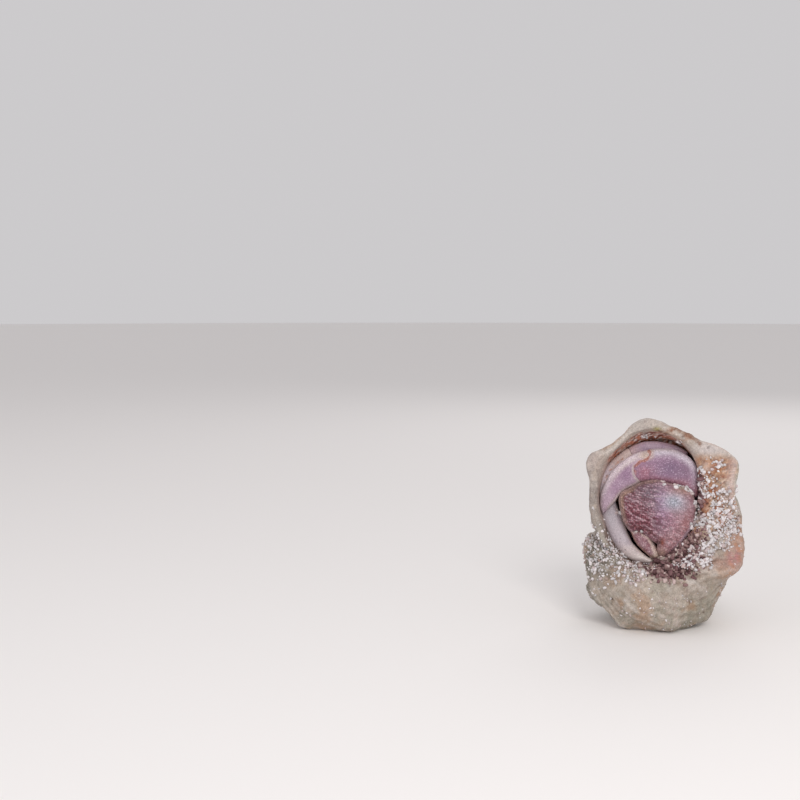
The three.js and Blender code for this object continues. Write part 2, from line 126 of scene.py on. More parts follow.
def hashed(cells, seed):
    """A repeatable whole number for each cell of a grid."""
    key = cells @ np.array((374761393, 668265263, 1103515245)) + seed * 1274126177
    key = (key ^ (key >> 13)) * 1274126177
    return (key ^ (key >> 16)) & 0xFFFFFF


def noise(points, size, seed=0):
    """Smooth noise from about -1 to 1, whose swells are `size` across."""
    place = points / size
    cell = np.floor(place).astype(np.int64)
    inside = place - cell
    blend = inside**3 * (inside * (inside * 6 - 15) + 10)
    total = np.zeros(len(points))
    for corner in CORNERS:
        direction = NOISE_DIRECTIONS[hashed(cell + corner, seed) & 255]
        weight = np.prod(np.where(corner, blend, 1 - blend), axis=1)
        total += weight * ((inside - corner) * direction).sum(axis=1)
    return total * NOISE_GAIN


def fractal(points, size, octaves=4, seed=0):
    """Noise in several sizes at once, each half as large and as strong as the last."""
    return sum(noise(points, size / 2**k, seed + k) / 2**k for k in range(octaves))


def cells(points, size, seed=0, scatter=0.8):
    """The distance to the nearest of points scattered `size` apart, and that point's random number."""
    place = points / size
    base = np.floor(place).astype(np.int64)
    nearest = np.full(len(points), 9.0)
    chance = np.zeros(len(points))
    for step in itertools.product((-1, 0, 1), repeat=3):
        cell = base + step
        shift = [hashed(cell, seed + k) / 0xFFFFFF for k in (1, 2, 3)]
        centre = cell + 0.5 + (np.stack(shift, axis=1) - 0.5) * scatter
        distance = np.linalg.norm(centre - place, axis=1)
        closer = distance < nearest
        nearest = np.where(closer, distance, nearest)
        chance = np.where(closer, hashed(cell, seed + 4) / 0xFFFFFF, chance)
    return nearest * size, chance


# ---- Meshes ----


def placed(name, data):
    """A new object, in the scene."""
    made = bpy.data.objects.new(name, data)
    bpy.context.scene.collection.objects.link(made)
    return made


def get_values(items, key, width=3, kind=np.float32):
    """A row of numbers for each of a mesh's items."""
    values = np.empty(len(items) * width, kind)
    items.foreach_get(key, values)
    return values.reshape(-1, width)


def set_values(items, key, values):
    items.foreach_set(key, np.asarray(values, np.float32).ravel())


def make_object(name, points, faces):
    """An object from points and from arrays of corner numbers, one array for each count of corners."""
    mesh = bpy.data.meshes.new(name)
    mesh.vertices.add(len(points))
    set_values(mesh.vertices, "co", points)
    corners = np.concatenate([f.ravel() for f in faces]).astype(np.int32)
    sizes = np.concatenate([np.full(len(f), f.shape[1]) for f in faces])
    mesh.loops.add(len(corners))
    mesh.loops.foreach_set("vertex_index", corners)
    mesh.polygons.add(len(sizes))
    mesh.polygons.foreach_set("loop_start", (np.cumsum(sizes) - sizes).astype(np.int32))
    mesh.update(calc_edges=True)
    mesh.shade_smooth()
    return placed(name, mesh)


def loft(rings, first, last):
    """Points and faces of the closed surface over rings of points, with a fan at each end."""
    count, around = rings.shape[:2]
    points = np.concatenate([rings.reshape(-1, 3), [first, last]])
    start = np.arange(count - 1)[:, None] * around + np.arange(around)
    beside = np.arange(count - 1)[:, None] * around + (np.arange(around) + 1) % around
    quads = np.stack([start, beside, beside + around, start + around], axis=-1).reshape(-1, 4)
    turn = np.arange(around)
    onward = (turn + 1) % around
    end = (count - 1) * around
    near = np.stack([np.full(around, count * around), onward, turn], axis=1)
    far = np.stack([np.full(around, count * around + 1), end + turn, end + onward], axis=1)
    faces = [quads, np.concatenate([near, far])]
    a, b, c, d = (points[quads[:, k]] for k in range(4))
    if (a * (np.cross(b, c) + np.cross(c, d))).sum() < 0:  # inside out
        faces = [f[:, ::-1] for f in faces]
    return points, faces


def stacked(name, layers, first, last):
    """A solid through outlines lying across the mouth, each with its depth, and closed at two points."""
    rings = [from_mouth(*outline.T, depth) for outline, depth in layers]
    return make_object(name, *loft(np.stack(rings), from_mouth(*first), from_mouth(*last)))


def points_of(piece):
    return get_values(piece.data.vertices, "co").astype(float)


def set_points(piece, points):
    set_values(piece.data.vertices, "co", points)
    piece.data.update()


def normals_of(piece):
    return get_values(piece.data.vertex_normals, "vector").astype(float)


def swell(piece, height):
    """Moves a piece's vertices out along their normals, all by one height or each by its own."""
    set_points(piece, points_of(piece) + normals_of(piece) * np.reshape(height, (-1, 1)))


def averaged(piece, values, rounds):
    """Values at the vertices, each replaced by the mean of its neighbours' so many times."""
    a, b = get_values(piece.data.edges, "vertices", 2, np.int32).T
    size = len(values)
    count = np.bincount(a, minlength=size) + np.bincount(b, minlength=size)
    count = np.maximum(count, 1)
    columns = values.reshape(size, -1).T
    for _ in range(rounds):
        columns = [
            (np.bincount(a, x[b], minlength=size) + np.bincount(b, x[a], minlength=size)) / count
            for x in columns
        ]
    return np.stack(columns, axis=1).reshape(values.shape)


def relax(piece, rounds):
    """Smooths a mesh by moving each vertex halfway to its neighbours' mean, so many times."""
    for _ in range(rounds):
        points = points_of(piece)
        set_points(piece, mix(points, averaged(piece, points, 1), 0.5))


def hollowness(piece, rounds):
    """How far each vertex lies in a hollow, in mm. It is negative on a bump."""
    points = points_of(piece)
    return ((averaged(piece, points, rounds) - points) * normals_of(piece)).sum(axis=1)


def modify(piece, kind, **settings):
    """Changes a piece's mesh by one of Blender's modifiers."""
    modifier = piece.modifiers.new(kind, kind)
    for name, value in settings.items():
        setattr(modifier, name, value)
    bpy.context.view_layer.update()
    graph = bpy.context.evaluated_depsgraph_get()
    mesh = bpy.data.meshes.new_from_object(piece.evaluated_get(graph))
    piece.modifiers.clear()
    piece.data = mesh


def combine(piece, operation, other):
    """Joins another solid to a piece, or cuts it from the piece, and removes the other."""
    modify(piece, "BOOLEAN", operation=operation, solver="MANIFOLD", object=other)
    bpy.data.objects.remove(other)


def remesh(piece, voxel):
    """Replaces a piece's mesh by an even one of its outer surface."""
    modify(piece, "REMESH", mode="VOXEL", voxel_size=voxel)
    piece.data.shade_smooth()


SPAN_STEPS = 40  # steps of a smooth curve between two of its points


def catmull_rom(points, closed, count):
    """Evenly spaced points on a smooth curve through some points: the centripetal Catmull-Rom curve."""
    knots = np.asarray(points, float)
    spans = len(knots) if closed else len(knots) - 1
    if closed:
        padded = np.concatenate([knots[-1:], knots, knots[:2]])
    else:
        padded = np.concatenate([[2 * knots[0] - knots[1]], knots, [2 * knots[-1] - knots[-2]]])
    line = []
    for i in range(spans):
        a, b, c, d = padded[i : i + 4]
        before, here, after = (math.sqrt(np.linalg.norm(q - p)) for p, q in ((a, b), (b, c), (c, d)))
        leave = here * ((b - a) / before - (c - a) / (before + here) + (c - b) / here)
        arrive = here * ((c - b) / here - (d - b) / (here + after) + (d - c) / after)
        t = np.linspace(0, 1, SPAN_STEPS, endpoint=False)[:, None]
        cubic = (2 * b - 2 * c + leave + arrive) * t**3 + (3 * c - 3 * b - 2 * leave - arrive) * t**2
        line.append(cubic + leave * t + b)
    line = np.concatenate([*line, knots[:1] if closed else knots[-1:]])
    length = np.concatenate([[0], np.cumsum(np.linalg.norm(np.diff(line, axis=0), axis=1))])
    wanted = np.linspace(0, length[-1], count, endpoint=not closed)
    return np.stack([np.interp(wanted, length, line[:, k]) for k in (0, 1)], axis=1)


# ---- Colours ----


def colour(red, green, blue):
    """A colour given as a screen shows it, in the linear values that Blender keeps."""
    value = np.array((red, green, blue)) / 255
    return np.where(value <= 0.04045, value / 12.92, ((value + 0.055) / 1.055) ** 2.4)


def painted(ground, *layers):
    """Colours of points: a ground, and over it layers of (colour, cover of each point from 0 to 1).

    A colour in a tuple is a screen's, and one in an array has Blender's values.
    """
    shades = colour(*ground) if isinstance(ground, tuple) else ground
    for tint, cover in layers:
        tint = colour(*tint) if isinstance(tint, tuple) else tint
        shades = shades + (tint - shades) * np.clip(cover, 0, 1)[:, None]
    return shades


def set_shade(piece, shades):
    layer = piece.data.color_attributes.new("shade", "FLOAT_COLOR", "POINT")
    set_values(layer.data, "color", np.column_stack([shades, np.ones(len(shades))]))


def paint(piece, ground, *layers):
    """Paints a piece as in `painted`, and returns it."""
    set_shade(piece, painted(ground, *layers))
    return piece


def blob(u, v, at, size):
    """A soft round patch: 1 in its middle and fading to nothing."""
    return np.exp(-(((u - at[0]) / size[0]) ** 2) - ((v - at[1]) / size[1]) ** 2)


def spots(u, v):
    """A function that gives the soft patch at a place across and up, with its reach each way."""
    return lambda across, up, wide, high: blob(u, v, (across, up), (wide, high))


# ---- Materials ----


def surface(name, mottle, rough, bumps, flecks=None):
    """A procedural material over a piece's `shade` colours, with all its sizes in mm.

    mottle is (size, amount) of a lighter and darker grain in the colour, rough is (low, high, size) of
    the roughness, bumps are (kind, size, height) of the relief, and flecks are (size, share, colour).
    """
    made = bpy.data.materials.new(name)
    made.use_nodes = True
    nodes, links = made.node_tree.nodes, made.node_tree.links
    shader = nodes["Principled BSDF"]
    place = nodes.new("ShaderNodeTexCoord").outputs["Object"]
    shade = nodes.new("ShaderNodeAttribute")
    shade.attribute_name = "shade"

    def texture(kind, size):
        node = nodes.new(f"ShaderNodeTex{kind}")
        node.inputs["Scale"].default_value = 1 / (size * MM)
        links.new(place, node.inputs["Vector"])
        if kind == "Noise":
            node.inputs["Detail"].default_value = 4
        return node.outputs

    def ranged(value, low, high, start=0.3, end=0.7):
        node = nodes.new("ShaderNodeMapRange")
        for socket, number in zip(("From Min", "From Max", "To Min", "To Max"), (start, end, low, high)):
            node.inputs[socket].default_value = number
        links.new(value, node.inputs["Value"])
        return node.outputs["Result"]

    size, amount = mottle
    scale = nodes.new("ShaderNodeVectorMath")
    scale.operation = "SCALE"
    links.new(shade.outputs["Color"], scale.inputs[0])
    links.new(ranged(texture("Noise", size)[0], 1 - amount, 1 + amount), scale.inputs["Scale"])
    tint = scale.outputs["Vector"]
    if flecks:
        size, share, pale = flecks
        spots = texture("Voronoi", size)
        red = nodes.new("ShaderNodeSeparateColor")
        links.new(spots["Color"], red.inputs["Color"])
        cover = nodes.new("ShaderNodeMath")
        cover.operation = "MULTIPLY"
        links.new(ranged(spots["Distance"], 0.6, 0, 0.1, 0.4), cover.inputs[0])
        links.new(ranged(red.outputs[0], 1, 0, share, share + 0.02), cover.inputs[1])
        blend = nodes.new("ShaderNodeMix")
        blend.data_type = "RGBA"
        links.new(cover.outputs[0], blend.inputs["Factor"])
        links.new(tint, blend.inputs[6])
        blend.inputs[7].default_value = (*pale, 1)
        tint = blend.outputs[2]
    links.new(tint, shader.inputs["Base Color"])

    low, high, size = rough
    links.new(ranged(texture("Noise", size)[0], low, high), shader.inputs["Roughness"])

    relief = None
    for kind, size, height in bumps:
        bump = nodes.new("ShaderNodeBump")
        bump.inputs["Distance"].default_value = height * MM
        links.new(texture(kind, size)["Fac" if kind == "Noise" else "Distance"], bump.inputs["Height"])
        if relief:
            links.new(relief, bump.inputs["Normal"])
        relief = bump.outputs["Normal"]
    links.new(relief, shader.inputs["Normal"])
    return made


GRAIN_BUMPS = (("Noise", 0.5, 0.14), ("Voronoi", 0.35, 0.06))
FINE_BUMPS = (("Noise", 0.22, 0.03), ("Voronoi", 0.2, 0.02))
CARAPACE_BUMPS = (("Voronoi", 0.35, 0.03), ("Noise", 0.3, 0.03))
SHELL_FLECKS = (0.38, 0.14, colour(212, 203, 196))
LEG_FLECKS = (0.26, 0.12, colour(186, 168, 182))
SHELL = surface("worn_shell", (0.35, 0.22), (0.65, 0.88, 1.6), GRAIN_BUMPS, SHELL_FLECKS)
CLAW = surface("claw_cuticle", (0.3, 0.34), (0.36, 0.55, 0.8), FINE_BUMPS)
LEG = surface("leg_cuticle", (0.28, 0.28), (0.36, 0.52, 0.9), FINE_BUMPS, LEG_FLECKS)
PALE_LEG = surface("pale_leg_cuticle", (0.3, 0.2), (0.4, 0.56, 0.9), (("Noise", 0.35, 0.025),))
CARAPACE = surface("carapace", (0.6, 0.14), (0.38, 0.58, 0.9), CARAPACE_BUMPS)
SKIN = surface("soft_skin", (0.8, 0.1), (0.3, 0.5, 1.2), (("Noise", 0.25, 0.04),))
EYE = surface("eye_facets", (0.3, 0.1), (0.08, 0.16, 0.5), (("Voronoi", 0.07, 0.004),))
SAND = surface("coral_sand", (0.25, 0.12), (0.5, 0.8, 0.4), (("Noise", 0.12, 0.03),))


def finish_piece(piece, material, slot, *nodes):
    """Turns a piece to metres, gives it its material and body, and lets it stand for CAD nodes."""
    piece.data.transform(Matrix.Scale(MM, 4))
    piece.data.materials.clear()
    piece.data.materials.append(material)
    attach(piece, "root")
    if nodes:
        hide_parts(*nodes)


# ---- The spiral ----

PIECE_TURNS = 0.4
HEADING = np.array((math.cos(AXIS_HEADING), 0, math.sin(AXIS_HEADING)))
AXIS = HEADING * math.cos(AXIS_DIP) + np.array((0, math.sin(AXIS_DIP), 0))
OFF_AXIS = np.array((math.sin(AXIS_HEADING), 0, -math.cos(AXIS_HEADING)))
APEX = AXIS * APEX_DISTANCE - OFF_AXIS * AXIS_OFFSET


def spiral(turn, radius, angle):
    """World points `radius` from the tube's middle in direction `angle`, `turn` turns from the lip.

    Radii are those at the lip, so the tube's own are smaller the further in it goes (turn < 0).
    """
    turn, radius, angle = np.broadcast_arrays(turn, radius, np.radians(angle))
    arm = np.stack([radius * np.cos(angle), 0 * radius, radius * np.sin(angle)], axis=-1) - APEX
    spin = (-2 * math.pi * turn)[..., None]
    along = (arm @ AXIS)[..., None] * AXIS
    arm = along + (arm - along) * np.cos(spin) + np.cross(AXIS, arm) * np.sin(spin)
    u, w, v = np.moveaxis(arm * GROWTH ** turn[..., None] + APEX, -1, 0)
    return from_mouth(u, v, w)


def round_table(values):
    """A smooth closed curve through values spaced evenly round a circle."""
    table = np.array(values)
    count = len(table)

    def at(degrees):
        place = np.mod(degrees, 360) / 360 * count
        i = np.floor(place).astype(int)
        x = place - i
        a, b, c, d = (table[(i + k) % count] for k in (-1, 0, 1, 2))
        return b + 0.5 * x * (c - a + x * (2 * a - 5 * b + 4 * c - d + x * (3 * (b - c) + d - a)))

    return at


lip_base = round_table(LIP_RADII)
throat = round_table(THROAT_RADII)


def turn_between(a, b):
    """Angle between two directions in degrees, from -180 to 180."""
    return np.mod(a - b + 180, 360) - 180


def outside(angle, turn):
    """Radius of the shell's outside: keels rise from it, and swell into knobs nine times a turn."""
    swell = 0.5 + 0.5 * np.cos(2 * math.pi * KNOBS_PER_TURN * turn)
    rise = mix(KEEL_BETWEEN_KNOBS, 1, swell)
    radius = lip_base(angle)
    for at, height, width in KEELS:
        radius = radius + rise * height * np.exp(-((turn_between(angle, at) / width) ** 2))
    for at_turn, at, height, turns, width in SWELLINGS:
        radius = radius + height * blob(turn, turn_between(angle, at), (at_turn, 0), (turns, width))
    return radius


def spiral_solid(name, turns, around, radius_at):
    """A solid along the spiral with an outline of radius_at(angle, turn)."""
    angle = np.arange(around) * 360 / around
    rings = spiral(turns[:, None], radius_at(angle[None, :], turns[:, None]), angle[None, :])
    ends = (spiral(t, 0.0, 0.0) for t in (turns[0], turns[-1]))
    return make_object(name, *loft(rings, *ends))


def whorls(name, start, end, step, around, radius_at):
    """A stretch of whorls, joined from pieces shorter than half a turn."""
    whole = None
    while end > start + 1e-6:
        back = max(start, end - PIECE_TURNS)
        turns = np.linspace(back, end, max(2, round((end - back) / step)))
        piece = spiral_solid(name, turns, around, radius_at)
        if whole:
            combine(whole, "UNION", piece)
        else:
            whole = piece
        end = back
    return whole


# ---- The shell ----

LIP_ROUNDING = 1.3  # radius of the rounded outer edge of the lip
LIP_TURN_LENGTH = 200.0  # length of a turn at the lip
LIP_WALL = 0.4  # least width left outside the funnel
FUNNEL_LAYERS = 14
FUNNEL_FRONT = (-9.0, -3.0)
SPIRE_TUBE = 0.86  # of the throat's size, where the walls of the early whorls are thin
SPIRE_TUBE_TURNS = (-0.85, -0.65)
# Outline across and up, and depths, of the room in the sill for the tip of the second left leg.
LEG2_NOTCH = (
    (-9.7, -11.9), (-7.7, -14.6), (-4.8, -16.5), (-1.8, -17.1), (0.8, -17.1), (1.5, -16.1),
    (0.2, -14.6), (-2.6, -12.4), (-6.0, -10.2),
)
LEG2_NOTCH_DEPTHS = (-9.0, 3.7)
FAR = 99  # past every side of the model
SHELL_VOXEL = 0.38
# Steps in turns along the spiral and corners round it, of the outside, the spire, the tube and the lip.
OUTSIDE_STEP, OUTSIDE_AROUND = 1 / 400, 288
SPIRE_STEP, SPIRE_AROUND = 1 / 160, 144
TUBE_STEP, SPIRE_TUBE_STEP, TUBE_AROUND = 1 / 160, 1 / 100, 96
LIP_STEP, LIP_FROM, LIP_TO = 1 / 200, -0.15, 0.1


def rounded_outside(angle, turn):
    """The outside, rounded over at the lip."""
    to_lip = np.clip(1 + turn * LIP_TURN_LENGTH / LIP_ROUNDING, 0, 1)
    return outside(angle, turn) - LIP_ROUNDING * (1 - np.sqrt(1 - to_lip**2))


def funnel():
    """What is cut from the front of the shell: a rounded lip that narrows to the throat."""
    angle = np.arange(180) * 2.0
    direction = np.stack([np.cos(np.radians(angle)), np.sin(np.radians(angle))], axis=1)
    full = np.maximum(outside(angle, 0) - LIP_ROUNDING - LIP_WALL, throat(angle) + 0.3)
    into = np.minimum(
        smooth(turn_between(angle, CALLUS_FROM), -CALLUS_BLEND, CALLUS_BLEND),
        smooth(turn_between(CALLUS_TO, angle), -CALLUS_BLEND, CALLUS_BLEND),
    )
    wide = mix(full, throat(angle) + CALLUS_FLARE, into)
    layers = list(zip(FUNNEL_FRONT, (wide + 2, wide)))
    for share in np.linspace(0, 1, FUNNEL_LAYERS):
        rounded = 1 - np.sqrt(1 - (1 - share) ** 2)
        layers.append((THROAT_DEPTH * share, mix(throat(angle), wide, rounded)))
    layers.append((VESTIBULE_DEPTH, np.minimum(VESTIBULE_RADIUS, throat(angle))))
    outlines = [(radius[:, None] * direction, depth) for depth, radius in layers]
    return stacked("funnel", outlines, (0.0, 0.0, FUNNEL_FRONT[0]), (0.0, 0.0, VESTIBULE_DEPTH))


def inner_wall(angle, turn):
    """Radius that leaves the wall of the shell standing, which is thicker further in."""
    return lip_base(angle) - np.minimum(WALL, WALL / 2 - turn * WALL_THICKENING)


def box(name, low, high):
    """A plain block, for cutting."""
    x, y, z = zip(low, high)
    points = np.array(list(itertools.product(x, y, z)))
    faces = np.array([(0, 1, 3, 2), (4, 6, 7, 5), (0, 4, 5, 1), (2, 3, 7, 6), (0, 2, 6, 4), (1, 5, 7, 3)])
    return make_object(name, points, [faces])


def tube(turn_from, turn_to, step):
    """The hollow of the whorls, which narrows where the walls of the early whorls are thin."""

    def radius_at(angle, turn):
        return throat(angle) * mix(SPIRE_TUBE, 1, smooth(turn, *SPIRE_TUBE_TURNS))

    return whorls("tube", turn_from, turn_to, step, TUBE_AROUND, radius_at)


def leg2_notch():
    """What is cut from the sill for the second left leg's tip."""
    edge = catmull_rom(LEG2_NOTCH, True, 60)
    ends = ((*edge.mean(axis=0), depth) for depth in LEG2_NOTCH_DEPTHS)
    return stacked("leg2_notch", [(edge, depth) for depth in LEG2_NOTCH_DEPTHS], *ends)


def shell_solid():
    """The whorls joined, less the tube and the mouth's funnel, and cut off level at the floor."""
    made = whorls("shell_looks", -1, 0, OUTSIDE_STEP, OUTSIDE_AROUND, rounded_outside)
    combine(made, "DIFFERENCE", tube(CAVITY_JOIN, 0.01, TUBE_STEP))
    combine(made, "UNION", whorls("spire", -WHORLS, -1, SPIRE_STEP, SPIRE_AROUND, outside))
    combine(made, "DIFFERENCE", tube(-CAVITY_TURNS, CAVITY_JOIN + 0.03, SPIRE_TUBE_STEP))
    mouth = funnel()
    combine(mouth, "INTERSECT", whorls("wall", LIP_FROM, LIP_TO, LIP_STEP, SPIRE_AROUND, inner_wall))
    combine(made, "DIFFERENCE", mouth)
    combine(made, "DIFFERENCE", leg2_notch())
    combine(made, "DIFFERENCE", box("floor_cut", (-FAR, -FAR, -FAR), (FAR, FAR, 0)))
    return made


def nearest_on_whorls(points):
    """The turn and angle of the nearest place on the outside of the shell, and how far out it is."""
    turns = np.concatenate([np.linspace(-1, 0, 360), np.linspace(-WHORLS, -1.005, 240)])
    angles = np.arange(240) * 1.5
    turn, angle = (grid.ravel() for grid in np.meshgrid(turns, angles, indexing="ij"))

    def at(turn, angle):
        return spiral(turn, outside(angle, turn), angle)

    places = at(turn, angle)
    tree = KDTree(len(places))
    for i, place in enumerate(places):
        tree.insert(place, i)
    tree.balance()
    found = np.array([tree.find(p)[1] for p in points])
    turn, angle = turn[found], angle[found]

    # One step along the surface's slopes brings each point from the grid to its own nearest place.
    here = at(turn, angle)
    step_turn, step_angle = 1e-3, 0.5
    along = (at(turn + step_turn, angle) - here) / step_turn
    across = (at(turn, angle + step_angle) - here) / step_angle
    gap = points - here
    aa, bb, ab = ((p * q).sum(axis=1) for p, q in ((along, along), (across, across), (along, across)))
    ga, gb = (gap * along).sum(axis=1), (gap * across).sum(axis=1)
    scale = aa * bb - ab**2
    turn = turn + np.clip((ga * bb - gb * ab) / scale, -0.004, 0.004)
    angle = angle + np.clip((gb * aa - ga * ab) / scale, -1.5, 1.5)
    out = np.cross(along, across)
    out /= np.linalg.norm(out, axis=1)[:, None]
    middle = spiral(turn, 0.0, angle)
    out *= np.sign(((here - middle) * out).sum(axis=1))[:, None]
    return turn, angle, (gap * out).sum(axis=1)


# About how many swells of noise there are in a turn of the spiral, for each kind of mark.
CORD_WANDER = 26
GROWTH_LINES = 210
COARSE_LINES = 60
BANDS = 34
CORDS = 30  # cords side by side round the tube
PITS_APART, PIT_DEPTH = 1.5, 0.35
LUMPS_APART, LUMP_RADIUS = 1.6, 0.95
HOLLOW_REACH = 14  # rounds of averaging that tell hollows from bumps
LIP_STREAK = ((5.2, 18.9), (7.4, 18.2), (9.6, 16.8), (12.0, 15.2))  # a stain along the top lip


